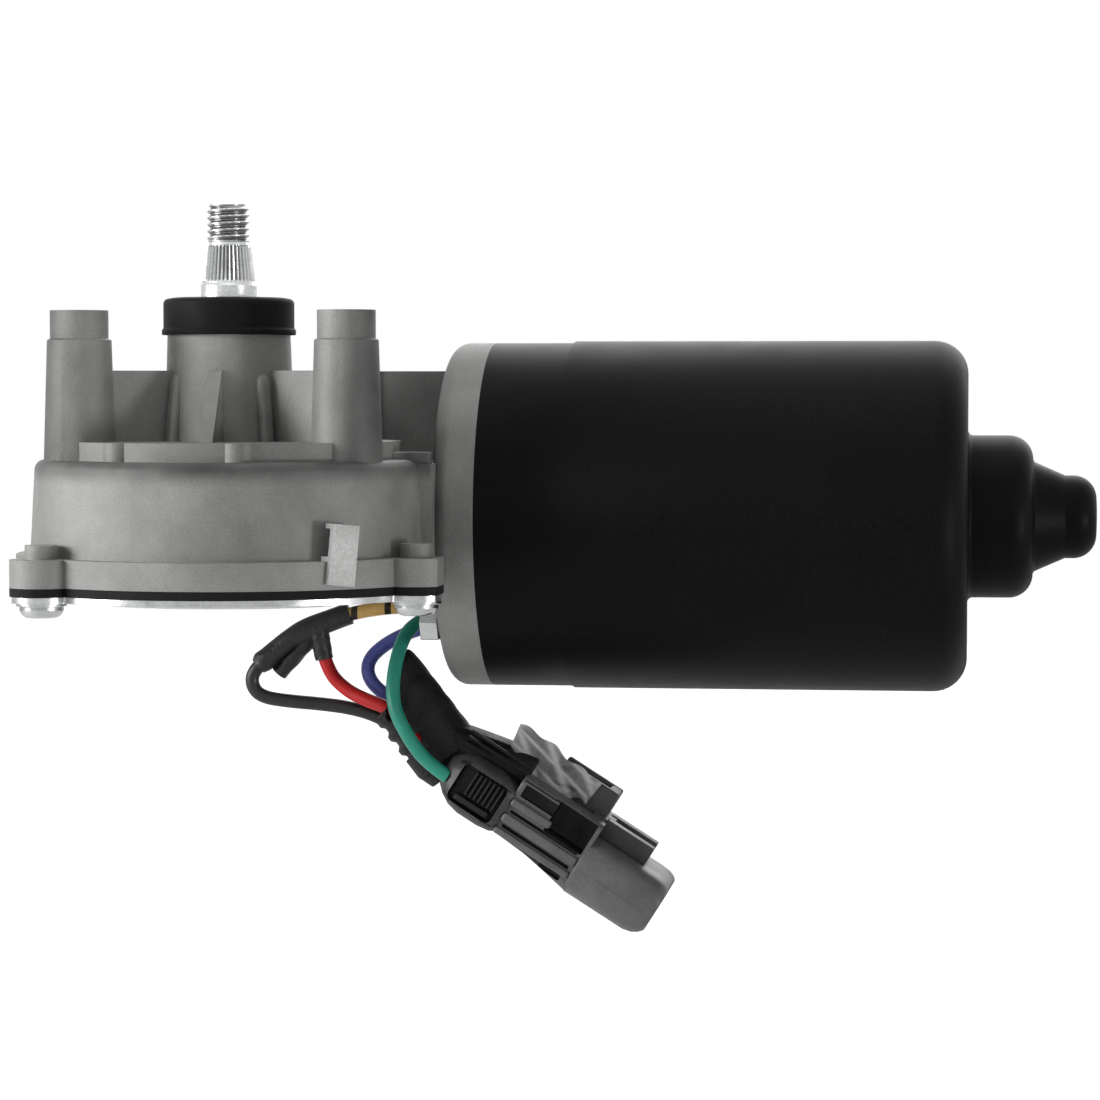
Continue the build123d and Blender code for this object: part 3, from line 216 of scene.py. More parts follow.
def moved(points, matrix):
    """Points moved by a 4 by 4 matrix: rotation times the point, plus the translation."""
    m = np.array(matrix)
    return points @ m[:3, :3].T + m[:3, 3]


def along_motor(points):
    """From a shape about Z to one about the motor's axis: Z to X, X to -Z, Y to Y."""
    x, y, z = np.moveaxis(points, -1, 0)
    return np.stack([z, MOTOR_Y + y, MOTOR_Z - x], -1)


def box_points(x, y, z, edge=0.3):
    """A box with rounded edges: rounded rectangles carried along X, drawn in at both ends by a
    quarter circle in four steps."""
    middle, half = (y[0] + y[1]) / 2, (y[1] - y[0]) / 2
    angle = np.linspace(0, pi / 2, 4)
    inset, along = edge * (1 - np.sin(angle)), edge * (1 - np.cos(angle))
    ends = [(x[0] + a, half - i, z[0] + i, z[1] - i, max(edge - i, 0.05)) for a, i in zip(along, inset)]
    points = carried(ends + [(x[0] + x[1] - s[0], *s[1:]) for s in reversed(ends)], 4)
    points[..., 1] += middle
    return points


def boxes(*rows):
    """Rounded boxes, each from its X, Y and Z ranges and maybe its edge."""
    return [box_points(*row) for row in rows]


def skin(points, closed=False):
    """Vertices, quads and triangles of a grid of points, joined round its columns; closed joins its
    rows too, and otherwise the first and last rows are shut by a fan to their middle."""
    rows, columns = points.shape[:2]
    vertices = points.reshape(-1, 3)
    j = np.arange(columns)
    step = (j + 1) % columns
    last = rows if closed else rows - 1
    i = np.arange(last)[:, None] * columns
    k = (np.arange(last)[:, None] + 1) % rows * columns
    quads = np.stack([i + j, i + step, k + step, k + j], -1).reshape(-1, 4)
    triangles = np.empty((0, 3), int)
    if not closed:
        hubs = points[[0, -1]].mean(1)
        first = np.stack([step, j, 0 * j + len(vertices)], 1)
        end = (rows - 1) * columns
        final = np.stack([end + j, end + step, 0 * j + len(vertices) + 1], 1)
        vertices = np.vstack([vertices, hubs])
        triangles = np.vstack([first, final])
    return vertices, quads, triangles


def skins_of(shapes, matrix=Matrix()):
    """The skins of several shapes, each moved by the matrix."""
    return [skin(moved(shape, matrix)) for shape in shapes]


@contextmanager
def edited(mesh):
    """Opens a mesh for editing and writes it back."""
    shape = bmesh.new()
    shape.from_mesh(mesh)
    yield shape
    shape.to_mesh(mesh)
    shape.free()


def merge_doubles(shape):
    """Merges points that lie within MERGE_DISTANCE of each other."""
    bmesh.ops.remove_doubles(shape, verts=shape.verts, dist=MERGE_DISTANCE)


def mesh_of(name, skins):
    """One mesh from several skins: doubles merged, flat faces dropped and the rest turned outwards."""
    starts = np.cumsum([0] + [len(part[0]) for part in skins[:-1]])
    vertices = np.concatenate([part[0] for part in skins]) * MM
    quads = np.concatenate([part[1] + start for part, start in zip(skins, starts)])
    triangles = np.concatenate([part[2] + start for part, start in zip(skins, starts)])
    mesh = bpy.data.meshes.new(name)
    mesh.from_pydata(vertices.tolist(), [], quads.tolist() + triangles.tolist())
    with edited(mesh) as shape:
        merge_doubles(shape)
        bmesh.ops.dissolve_degenerate(shape, edges=shape.edges, dist=FLAT_DISTANCE)
        bmesh.ops.recalc_face_normals(shape, faces=shape.faces)
    return mesh


def add_to(made, skins):
    """Adds more skins to an object's mesh as shells of their own."""
    extra = mesh_of("extra", skins)
    with edited(made.data) as whole:
        whole.from_mesh(extra)
    bpy.data.meshes.remove(extra)
    smooth(made.data)


def smooth(mesh, sharp=32):
    """Smooth shading, with edges over the angle left sharp."""
    mesh.polygons.foreach_set("use_smooth", np.ones(len(mesh.polygons), bool))
    mesh.set_sharp_from_angle(angle=radians(sharp))
    mesh.update()


def points_of(mesh):
    """The mesh's points, in millimetres."""
    places = np.empty(len(mesh.vertices) * 3)
    mesh.vertices.foreach_get("co", places)
    return places.reshape(-1, 3) / MM


def store(mesh, name, values):
    """Stores a value for each of the mesh's points."""
    mesh.attributes.new(name, "FLOAT", "POINT").data.foreach_set("value", values.astype(np.float32))


def linked(made):
    """Links a new object to the scene."""
    bpy.context.scene.collection.objects.link(made)
    return made


def evaluated(made):
    """A new mesh of an object as its modifiers leave it."""
    depsgraph = bpy.context.evaluated_depsgraph_get()
    return bpy.data.meshes.new_from_object(made.evaluated_get(depsgraph))


def piece(name, skins, material, stands_for=None, body="housing", sharp=32):
    """An object made of skins, on its body, with its finish."""
    mesh = mesh_of(name, skins)
    smooth(mesh, sharp)
    return settle(bpy.data.objects.new(name, mesh), material, stands_for, body)


def settle(made, material, stands_for=None, body="housing"):
    """Links an object, gives it its finish and sets it on its body, in place of a node if it has one."""
    linked(made).data.materials.append(material)
    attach(made, body)
    if stands_for:
        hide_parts(stands_for)
    return made


def cut_away(made, tools):
    """Cuts the solids of the tools' skins out of an object's mesh."""
    for tool in tools:
        cutter = linked(bpy.data.objects.new("cutter", mesh_of("cutter", [tool])))
        change = made.modifiers.new("cut", "BOOLEAN")
        change.operation, change.solver, change.object = "DIFFERENCE", "EXACT", cutter
        old, made.data = made.data, evaluated(made)
        made.modifiers.clear()
        bpy.data.meshes.remove(old)
        bpy.data.objects.remove(cutter)


def lined(made, box, matrix, look):
    """Gives a second material to the faces inside a box, which is set out before the matrix moves it."""
    made.data.materials.append(look)
    centres = np.empty(len(made.data.polygons) * 3)
    made.data.polygons.foreach_get("center", centres)
    local = moved(centres.reshape(-1, 3) / MM, matrix.inverted())
    low, high = np.array(box).T
    inside = ((local > low - BOX_MARGIN) & (local < high + BOX_MARGIN)).all(1)
    made.data.polygons.foreach_set("material_index", inside.astype(np.int32))
    made.data.update()


def merged_copy(name, node, material, edge=0):
    """A copy of a node's mesh with its triangles merged, flat runs joined and edges rounded."""
    source = frame["nodes"][node]
    mesh = source.data.copy()
    mesh.name = name
    mesh.materials.clear()
    with edited(mesh) as shape:
        merge_doubles(shape)
        if edge:
            bmesh.ops.dissolve_limit(shape, angle_limit=radians(FLAT_ANGLE), verts=shape.verts,
                                     edges=shape.edges)
    smooth(mesh)
    made = settle(bpy.data.objects.new(name, mesh), material, node, source["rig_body"])
    if edge:
        bevel = made.modifiers.new("edges", "BEVEL")
        bevel.width, bevel.segments = edge * MM, 2
        bevel.limit_method, bevel.angle_limit = "ANGLE", radians(BEVEL_ANGLE)
        bevel.harden_normals = False
    made.modifiers.new("shading", "WEIGHTED_NORMAL").keep_sharp = True


# ---- finishes
def wire(tree, node, sockets):
    """Gives each socket, by name or number, its value, or a link from another node's output."""
    for socket, value in sockets.items():
        if isinstance(value, bpy.types.NodeSocket):
            tree.links.new(value, node.inputs[socket])
        else:
            node.inputs[socket].default_value = value


def node_in(tree, kind, sockets=None, **settings):
    """A node of a tree, with its settings and its sockets wired."""
    node = tree.nodes.new("ShaderNode" + kind)
    for name, value in settings.items():
        setattr(node, name, value)
    wire(tree, node, sockets or {})
    return node


def maths(tree, operation, *values):
    """The result of a Math node."""
    return node_in(tree, "Math", dict(enumerate(values)), operation=operation).outputs[0]


def blend(tree, factor, first, second, kind="MIX"):
    """The colour that two colours give, mixed by a factor."""
    sockets = {"Factor": factor, 6: first, 7: second}
    return node_in(tree, "Mix", sockets, data_type="RGBA", blend_type=kind).outputs[2]


def grain_group():
    """Patches and fine grain on the piece's own coordinates, each from 0 to 1."""
    made = bpy.data.node_groups.get("surface grain")
    if made:
        return made
    made = bpy.data.node_groups.new("surface grain", "ShaderNodeTree")
    for name in ("Patch", "Grain"):
        made.interface.new_socket(f"{name} scale", in_out="INPUT", socket_type="NodeSocketFloat")
        made.interface.new_socket(name, in_out="OUTPUT", socket_type="NodeSocketFloat")
    into, out = made.nodes.new("NodeGroupInput"), made.nodes.new("NodeGroupOutput")
    place = node_in(made, "TexCoord").outputs["Object"]
    for name, detail, rough in (("Patch", 4, 0.62), ("Grain", 2, 0.5)):
        noise = node_in(made, "TexNoise", {"Vector": place, "Scale": into.outputs[f"{name} scale"],
                                           "Detail": detail, "Roughness": rough}).outputs["Fac"]
        spread = node_in(made, "MapRange", {"Value": noise, "From Min": 0.3, "From Max": 0.7})
        wire(made, out, {name: spread.outputs["Result"]})
    return made


def finish(name, base, roughness=0.5, metallic=0, patch=60, grain=1500, tint=0.25,
           bump=0.03, uneven=0.12, coat=0, marks_and_shade=None, alpha=1, shine=0.5, fine=0.28):
    """A finish with patches of tone, fine grain in colour and relief, and uneven gloss.
    patch and grain are in cycles per metre, bump in millimetres. The colour-changing function gives real
    marks on some finishes and painted shade on others."""
    made = bpy.data.materials.get(name)
    if made:
        return made
    made = bpy.data.materials.new(name)
    made.use_nodes = True
    tree = made.node_tree
    surface = node_in(tree, "Group", {"Patch scale": patch, "Grain scale": grain}, node_tree=grain_group())
    patches, grains = surface.outputs["Patch"], surface.outputs["Grain"]
    low, high = ([min(1, c * (1 + way * tint)) for c in base] for way in (-1, 1))
    tone = blend(tree, patches, (*low, 1), (*high, 1))
    tone = blend(tree, fine, tone, grains, "OVERLAY")
    gloss = node_in(tree, "MapRange", {"Value": patches, "To Min": max(0.02, roughness - uneven),
                                       "To Max": min(1, roughness + uneven)})
    relief = node_in(tree, "Bump", {"Strength": 0.6, "Distance": bump * MM, "Height": grains})
    wire(tree, tree.nodes["Principled BSDF"],
         {"Base Color": marks_and_shade(tree, tone) if marks_and_shade else tone, "Roughness": gloss.outputs["Result"],
          "Normal": relief.outputs["Normal"], "Metallic": metallic, "Alpha": alpha,
          "Specular IOR Level": shine, "Coat Weight": coat, "Coat Roughness": COAT_ROUGHNESS})
    return made


def tracer_marks(tree, tone):
    """Dark bands along X on the yellow lead: where the sine of X passes a level."""
    place = node_in(tree, "TexCoord").outputs["Object"]
    along = node_in(tree, "SeparateXYZ", {0: place}).outputs["X"]
    wave = maths(tree, "SINE", maths(tree, "MULTIPLY", along, 2 * pi / (TRACER_PITCH * MM)))
    return blend(tree, maths(tree, "GREATER_THAN", wave, TRACER_LEVEL), tone, (0.03, 0.02, 0.012, 1))


def stored_shade_and_marks(layer, colour):
    """A colour mixed in by a value that the mesh stores at each point: painted shade in the shaft's
    valleys, and lighter rims and creases on the film.
    """
    def marks_and_shade(tree, tone):
        stored = node_in(tree, "Attribute", attribute_name=layer)
        return blend(tree, stored.outputs["Fac"], tone, (*colour, 1))
    return marks_and_shade


def painted_shoulder_shade(tree, tone):
    """Painted shade: darkens the drum's wall just under its shoulder, by steps in height and in radius,
    times noise.
    """
    place = node_in(tree, "TexCoord").outputs["Object"]
    height = node_in(tree, "SeparateXYZ", {0: place}).outputs["Z"]
    flat = node_in(tree, "VectorMath", {0: place, 1: (1, 1, 0)}, operation="MULTIPLY").outputs["Vector"]
    radius = node_in(tree, "VectorMath", {0: flat}, operation="LENGTH").outputs["Value"]
    shoulder_shade_mask = node_in(tree, "TexNoise", {"Vector": place, "Scale": 55, "Detail": 3}).outputs["Fac"]
    steps = ((height, -32.5, -28.5), (radius, 32, 35), (radius, 39.5, 38.5))
    for source, start, stop in steps:
        step = node_in(tree, "MapRange", {"Value": source, "From Min": start * MM, "From Max": stop * MM,
                                          "To Max": 1.15}, interpolation_type="SMOOTHSTEP")
        shoulder_shade_mask = maths(tree, "MULTIPLY", step.outputs["Result"], shoulder_shade_mask)
    # The colour mixed in here is the painted shade.
    return blend(tree, shoulder_shade_mask, tone, (0.035, 0.035, 0.034, 1))


def zinc():
    """The finish of the cover and the screws."""
    return finish("bright zinc plate", (0.56, 0.57, 0.57), 0.26, 1, 220, 2600, 0.12, 0.006, 0.08, fine=0.1)


def steel():
    """The finish of turned steel parts."""
    return finish("turned steel", (0.46, 0.47, 0.48), 0.24, 1, 300, 3000, 0.14, 0.006, 0.08, fine=0.12)


def rubber():
    """The finish of the seal and the grommet."""
    return finish("moulded rubber", (0.006, 0.006, 0.0062), 0.62, 0, 90, 1400, 0.3, 0.03, 0.1, shine=0.1)


def conduit_plastic():
    """The finish of the conduit and the plug's hood."""
    base = bpy.context.scene.wiper_plug.conduit
    return finish("conduit plastic", base, 0.5, 0, 300, 1500, 0.3, 0.02, 0.1, shine=0.12)


def plug_plastic(name, share, roughness, **more):
    """A finish of the plug, whose colour is a share of the plug's own; a share below 1 makes a copy
    darkened as painted shade.
    """
    base = [share * c for c in bpy.context.scene.wiper_plug.plug]
    return finish(name, base, roughness, 0, 240, 1900, 0.14, 0.018, **more)


# ---- operators
def boss_rib(reach, top=-11.3, height=13.9, inner_r=9, start_r=11.2, rise=0.9, half_w=1.5):
    """A rib out from the boss: rounded rectangles at each height whose outer end follows a
    quarter sine at the top and then a power of the drop, to its full reach at the foot."""
    drop = np.linspace(0, 1, 18)
    ends = start_r + reach * drop ** 0.75 + rise * np.sin(pi / 2 * np.clip(drop * 7, 0, 1))
    rows = []
    for z, out in zip(top - height * drop, ends):
        ring = ring_of(half_w, inner_r, out, 1.2, 6)
        rows.append(np.column_stack([ring[:, 1], ring[:, 0], np.full(len(ring), z)]))
    return np.stack(rows)


class WIPER_OT_casting(bpy.types.Operator):
    """Finish the cast housing as one rounded casting"""
    bl_idname = "wiper.casting"
    bl_label = "Casting"

    def execute(self, context):
        values = context.scene.wiper_casting
        # The cast finish carries painted shade under the drum's shoulder.
        look = finish("cast aluminium", values.colour, 0.56, 0.2, 30, 4200, 0.42, 0.05, 0.07, fine=0.16,
                      marks_and_shade=painted_shoulder_shade)
        merged_copy("casting", "gear_housing", look, values.edge / MM)
        boss = turned([(0, -49.5), (3.5, -49.5), (3.4, -43.2), (0, -43.2)], [0, 0, 0.7, 0], 48)
        ledge = boxes(((29.3, 31.3), (-2.6, 6), (-29, -24.6)), ((31, 38.6), (-2.4, 0.6), (-29, -26.3)))
        ledge += [boss + (*place, 0) for place in BACK_SCREWS]
        piece("neck_ledge", skins_of(ledge), look)
        ribs = [moved(boss_rib(reach), Matrix.Rotation(radians(turn), 4, "Z"))
                for turn, reach in ((90, 5), (225, 1.8), (270, 5), (315, 1.8))]
        piece("boss_ribs", skins_of(ribs), look, sharp=50)
        return {"FINISHED"}


def can_lug(angle):
    """An inside block for a flange screw: a box out to the wall, turned about the axis."""
    block = box_points((24.6, 32.6), (-4.4, 4.4), (50.2, 57), 0.4)
    return moved(block, Matrix.Rotation(radians(angle), 4, "Z"))


def can_outline(values, inset, open_x=46.4, seam_x=61.8, neck_x=157):
    """The can's outline from its rim to its tip, moved inwards by the wall."""
    rim = values.radius / MM - inset
    wide = rim + values.step / MM
    end_x, boss_x, tip_x = (x - inset for x in (138.4, 150.9, 163))
    boss_r, neck_r, tip_r = (r - inset for r in (15.7, 10.7, 8))
    corners = [(rim, open_x), (rim, seam_x), (wide, seam_x + 0.5), (wide, end_x), (boss_r, end_x),
               (boss_r, boss_x), (neck_r, boss_x), (tip_r, neck_x), (tip_r, tip_x), (0, tip_x)]
    radii = [0, 0, 0, 6.5 - inset, 1 + inset, 4.6 - inset, 0.8, 1, 4.4 - inset, 0]
    return rounded(corners, radii, 10)


class WIPER_OT_can(bpy.types.Operator):
    """Make the drawn can, with its seam step, its bearing seat and its tip"""
    bl_idname = "wiper.can"
    bl_label = "Motor can"

    def execute(self, context):
        values = context.scene.wiper_can
        wall = 1.8
        profile = np.concatenate([can_outline(values, 0), can_outline(values, wall)[::-1]])
        shell = spun(profile[:, :1], profile[:, 1:], circle(160))
        paint = finish("semi-gloss black paint", values.colour, 0.45, 0, 30, 1800, 0.15, 0.004, 0.05,
                       shine=0.05)
        lugs = [skin(along_motor(can_lug(angle))) for angle in (45, 225)]
        piece("can_shell", [skin(along_motor(shell), closed=True), *lugs], paint,
              "motor_can", sharp=40)
        return {"FINISHED"}


def paint_valley_shade(mesh, heights, radii):
    """Stores painted shade for the thread and serration valleys: how far each point lies below the uncut
    profile, from 0 at 0 to 1 at 0.4 mm.
    """
    x, y, z = points_of(mesh).T
    depth = np.clip((np.interp(z, heights, radii) - np.hypot(x, y)) / 0.4, 0, 1)
    store(mesh, "valley", np.where((z > 5) & (z < heights[-1] - 0.4), depth, 0))


def serration_cut(values, z, angle):
    """Depth below the cone: a triangle wave round it, fading at both ends."""
    wave = np.abs((angle * values.serrations / (2 * pi)) % 1 * 2 - 1)
    fade = np.clip((z - 5.5) / 0.5, 0, 1) * np.clip((12.5 - z) / 0.3, 0, 1)
    return values.serration_depth / MM * fade[:, None] * wave


def thread_cut(values, z, angle, top):
    """Depth below the crest: a triangle wave of height less turns, fading at both ends."""
    turn = (z[:, None] / (values.pitch / MM) - angle / (2 * pi)) % 1
    wave = np.clip(np.abs(turn * 2 - 1) * 1.25 - 0.12, 0, 1)
    fade = np.clip((z - 13.2) / 0.4, 0, 1) * np.clip((top - 0.3 - z) / 0.6, 0, 1)
    return values.depth / MM * fade[:, None] * wave


class WIPER_OT_shaft(bpy.types.Operator):
    """Cut the output shaft's thread and serrations"""
    bl_idname = "wiper.shaft"
    bl_label = "Output shaft"

    def execute(self, context):
        values = context.scene.wiper_shaft
        low, high = node_heights("output_shaft")
        journal, groove, crest = 5.25, 4.7, 4
        groove_low, groove_high, cone_low, cone_high = -1.9, -0.9, 5.3, 12.3
        profile = [(low, 4.65), (low + 0.6, journal), (groove_low, journal), (groove_low, groove),
                   (groove_high, groove), (groove_high, journal), (4.9, journal), (cone_low, 5),
                   (cone_low + 0.1, 4.95), (cone_high, 4.15), (cone_high + 0.1, 3.7),
                   (cone_high + 0.7, 3.6), (cone_high + 1, crest), (high - 1.5, crest),
                   (high - 0.75, 3.85), (high - 0.25, 3.45), (high, 2.6)]
        heights, radii = np.array(profile).T
        just_below = [groove_low - 1e-4, groove_high - 1e-4]
        z = np.unique(np.concatenate([heights, just_below, np.arange(cone_low, 12.5, 0.18),
                                      np.arange(12.5, high, 0.07)]))
        angle = circle(4 * values.serrations)
        r = np.interp(z, heights, radii)[:, None] + 0 * angle
        r -= serration_cut(values, z, angle) + thread_cut(values, z, angle, high)
        # The valleys are painted darker by the stored value: painted shade.
        look = finish("cut steel", (0.6, 0.61, 0.61), 0.3, 1, 300, 3000, 0.12, 0.006, 0.06,
                      marks_and_shade=stored_shade_and_marks("valley", (0.24, 0.24, 0.245)))
        made = piece("output_shaft_cut", [skin(spun(r, z[:, None], angle))], look,
                     "output_shaft", "output", 28)
        paint_valley_shade(made.data, heights, radii)
        return {"FINISHED"}


class WIPER_OT_seal(bpy.types.Operator):
    """Make the rubber cap round the shaft"""
    bl_idname = "wiper.seal"
    bl_label = "Seal cap"

    def execute(self, context):
        corners = [(5.33, 1.5), (5.33, 2.6), (10.4, 2.6), (12.3, 2.25), (12.3, -3.1), (12.6, -3.5),
                   (12.6, -4.4), (11.6, -4.4), (11.4, 0.6), (9.6, 0.6), (9.6, 1.5)]
        radii = [0, 0.3, 0.8, 1, 0.3, 0.2, 0.2, 0, 0, 0, 0]
        piece("rubber_cap", [skin(turned(corners, radii, 128), closed=True)], rubber(),
              "seal_cap")
        return {"FINISHED"}


def cover_screws():
    """Four pan heads with washers and cross recesses, in the places the node has them."""
    low, high = node_heights("cover_screws")
    seat, ear_circle = -53.3, 41
    centres = [(ear_circle * cos(a), ear_circle * sin(a)) for a in map(radians, (226, 338.5))]
    head = turned([(0, low), (3.3, low + 0.15), (4, low + 1.5), (4, seat - 0.6),
                   (4.6, seat - 0.55), (4.6, seat), (2, seat), (2, high), (0, high)],
                  [0, 1.5, 0.6, 0.05, 0.15, 0.1, 0, 0, 0], 72, 8)
    long, short, depth = (-1.9, 1.9), (-0.4, 0.4), (low - 1, low + 1.2)
    made = piece("cover_screw_set", [skin(head)], zinc(),
                 "cover_screws", sharp=40)
    cut_away(made, skins_of(boxes((long, short, depth, 0.1), (short, long, depth, 0.1))))
    whole = bmesh.new()
    for (x, y), turn in zip((*centres, *BACK_SCREWS), (0.3, 1.2, 2.1, 3)):
        copy = made.data.copy()
        copy.transform(Matrix.Translation((x * MM, y * MM, 0)) @ Matrix.Rotation(turn, 4, "Z"))
        whole.from_mesh(copy)
        bpy.data.meshes.remove(copy)
    whole.to_mesh(made.data)
    whole.free()
    smooth(made.data, 40)


class WIPER_OT_cover(bpy.types.Operator):
    """Finish the cover, its gasket and its screws"""
    bl_idname = "wiper.cover"
    bl_label = "Cover and screws"

    def execute(self, context):
        merged_copy("pressed_cover", "cover_plate", zinc(), 0.18)
        dark = finish("gasket rubber", (0.006, 0.006, 0.006), 0.7, 0, 120, 1800, 0.3, 0.02, shine=0.15)
        merged_copy("gasket_ring", "cover_gasket", dark)
        cover_screws()
        return {"FINISHED"}


class WIPER_OT_small_metal(bpy.types.Operator):
    """Finish the earth tab, the can's screws and the end-play screw"""
    bl_idname = "wiper.small_metal"
    bl_label = "Small metal parts"

    def execute(self, context):
        tab = finish("tinned tab", (0.36, 0.36, 0.355), 0.5, 0.3, 160, 1700, 0.14, 0.03, 0.12, fine=0.12)
        merged_copy("earth_blade", "earth_tab", tab, 0.14)
        merged_copy("can_screw_pair", "flange_screws", zinc(), 0.3)
        merged_copy("end_play_screw", "adjusting_screw", steel(), 0.3)
        return {"FINISHED"}


# Each lead's length, and the control points of its route from the housing to its end.
LEADS = {
    "green": (43.6, [
        (37.6, 24, -57.8), (31.4, 21.3, -59.4), (29.2, 14.6, -66), (29, 10.6, -74.6),
        (32.2, 10.2, -81), (36, 10.4, -86.1), (40.03, 10.4, -88.65)]),
    "blue": (39.8, [
        (37.6, 26.47, -60), (31.4, 27, -61.5), (25.6, 26, -64.2), (22.1, 24.6, -67.4),
        (22.2, 23.2, -70.8), (25.2, 22.8, -74), (32.35, 22.8, -77.6), (36.34, 22.8, -82.69)]),
    "yellow": (39.2, [
        (37.6, 26.9, -56.87), (31.2, 25.7, -57), (25.2, 23.2, -57.2), (19.2, 20.6, -58.2),
        (9.4, 20, -61.4), (2.3, 20, -67.6)]),
    "black": (42.8, [
        (2.3, 20, -67.6), (0.1, 20, -69.52), (-0.2, 20, -72.4), (1.7, 20.1, -74.6), (6.9, 20.3, -75.4),
        (13.8, 20.4, -75.9), (19.4, 20.4, -76.6), (24.2, 20.3, -77.9), (29.43, 20.3, -80.75),
        (32.94, 20.3, -85.34)]),
    "red": (31.6, [
        (13.4, 20, -63.4), (14.7, 20, -69.2), (18.5, 19.6, -73), (23.2, 18, -75), (27, 17, -76),
        (31.45, 17, -79.67), (34.76, 17, -83.89)]),
}


def nurbs_line(name, route, radius):
    """A smooth NURBS line with the route's points as its control points."""
    curve = bpy.data.curves.new(name, "CURVE")
    curve.dimensions = "3D"
    spline = curve.splines.new("NURBS")
    spline.points.add(len(route) - 1)
    for point, place in zip(spline.points, route):
        point.co = (*(Vector(place) * MM), 1)
    spline.order_u = 3
    spline.use_endpoint_u = True
    curve.resolution_u = 12
    curve.bevel_depth = radius * MM
    curve.bevel_resolution = 6
    curve.use_fill_caps = True
    return bpy.data.objects.new(name, curve)


class WIPER_OT_leads(bpy.types.Operator):
    """Lay the five leads along their routes"""
    bl_idname = "wiper.leads"
    bl_label = "Leads"

    def execute(self, context):
        values = context.scene.wiper_leads
        for name, (length_mm, route) in LEADS.items():
            to_sleeve = name == "yellow"
            look = finish(f"{name} insulation", getattr(values, name), 0.4, 0, 260, 2600, 0.12, 0.012,
                          0.08, shine=0.35, marks_and_shade=tracer_marks if to_sleeve else None, fine=0.08)
            lead = settle(nurbs_line(f"{name}_wire", route, values.radius / MM), look,
                          f"{name}_lead")
        return {"FINISHED"}


def line_of(route):
    """Points read from a route's own NURBS line."""
    guide = linked(nurbs_line("guide", route, 0))
    guide.data.resolution_u = 24
    mesh = evaluated(guide)
    points = points_of(mesh)
    bpy.data.objects.remove(guide)
    bpy.data.meshes.remove(mesh)
    return points


def tube_along(points, radii, around=36, rumple=0):
    """A tube carried along points: circles of the given radii, square to the line, whose radius
    also waves by rumple with three times the angle and with the distance along."""
    points, radii = np.asarray(points, float), np.asarray(radii, float)
    way = np.gradient(points, axis=0)
    way /= np.linalg.norm(way, axis=1)[:, None]
    side = np.cross(way, (0, 1, 0))
    side /= np.linalg.norm(side, axis=1)[:, None]
    rise = np.cross(side, way)
    angle = circle(around)
    along = np.linspace(0, 1, len(points))[:, None]
    wave = rumple * np.sin(3 * angle + 9 * along) * np.sin(11 * along + 1)
    ring = side[:, None] * np.cos(angle)[:, None] + rise[:, None] * np.sin(angle)[:, None]
    return points[:, None] + ring * (radii[:, None] + wave)[..., None]


class WIPER_OT_sleeve(bpy.types.Operator):
    """Shrink the sleeve over the splice, with its folded tail and its branch"""
    bl_idname = "wiper.sleeve"
    bl_label = "Splice sleeve"

    def execute(self, context):
        main = line_of(LEADS["yellow"][1][3:] + [(1.2, 20, -68.56)])
        tail = line_of([(13.2, 21.1, -60.6), (9.6, 21.2, -64.6), (5, 21.2, -70.1)])
        branch = line_of([(12.8, 20, -60.6), (13.6, 20, -63.8), (14.26, 20, -67.1)])
        t, tail_t, branch_t = (np.linspace(0, 1, len(line)) for line in (main, tail, branch))
        swell = 2.12 + 0.16 * np.sin(t * 9) * np.sin(t * pi) - 0.35 * np.clip((t - 0.86) / 0.14, 0, 1)
        look = finish("shrink sleeve", (0.014, 0.014, 0.015), 0.48, 0, 420, 1600, 0.4, 0.1, 0.14,
                      shine=0.35)
        piece("shrink_tube", [skin(tube_along(main, swell, rumple=0.1)),
                              skin(tube_along(tail, 1.85 - 0.25 * tail_t ** 3, rumple=0.12)),
                              skin(tube_along(branch, 2.05 - 0.3 * branch_t, rumple=0.06))],
              look, "splice_sleeve", sharp=50)
        return {"FINISHED"}


def conduit_frame():
    """The conduit's place: its length runs down towards the plug."""
    return Matrix.Translation((30.38, 20, -75.93)) @ Matrix.Rotation(radians(142), 4, "Y")


def plug_frame():
    """The plug's place: u along it, w across it and v up from it."""
    return Matrix.Translation((39.5, 20, -89.5)) @ Matrix.Rotation(radians(32.3), 4, "Y")


def plug_piece(name, shapes, look, node=None):
    """A piece of the plug made of shapes set out in the plug's own place."""
    return piece(name, skins_of(shapes, plug_frame()), look, node)


def conduit_wall(inset):
    """One face of the wall: rings are a clipped sine of the height that fade on the far side,
    the slit's two edges are notched by the rings, and the mouth reaches out in a bell curve."""
    height = np.linspace(0, 1, 110)[:, None]
    turn = np.linspace(0, 1, 110)
    ridge = np.clip(np.sin(height * 13 / 3 * 2 * pi - 1.2) * 1.5, -1, 1) * 0.5 + 0.5
    start, end = radians(-62) + radians(3) * ridge, radians(280) - radians(9) * ridge
    angle = start + (end - start) * turn
    lift = 1.5 + 7 * np.exp(-(((angle - radians(212)) / radians(50)) ** 4))
    z = -lift + height * (13 + lift)
    plain = np.clip((angle - radians(100)) / radians(45), 0, 1)
    r = 6.7 - 0.75 * np.cos(angle) + 0.7 * ridge * (1 - 0.86 * plain) - inset
    return spun(r, z, angle)


class WIPER_OT_conduit(bpy.types.Operator):
    """Roll the split, ribbed conduit round the leads"""
    bl_idname = "wiper.conduit"
    bl_label = "Conduit"

    def execute(self, context):
        outer, inner = conduit_wall(0), conduit_wall(0.6)
        loop = np.concatenate([outer, inner[:, ::-1]], 1)
        collar = turned([(0, 8.5), (6.7, 8.5), (6.7, 12.5), (5.6, 15.8), (0, 15.8)],
                        [0, 0.4, 0.8, 0.6, 0], 64)
        piece("conduit_tube", skins_of([loop, collar], conduit_frame()), conduit_plastic(),
              "lead_conduit", sharp=50)
        return {"FINISHED"}


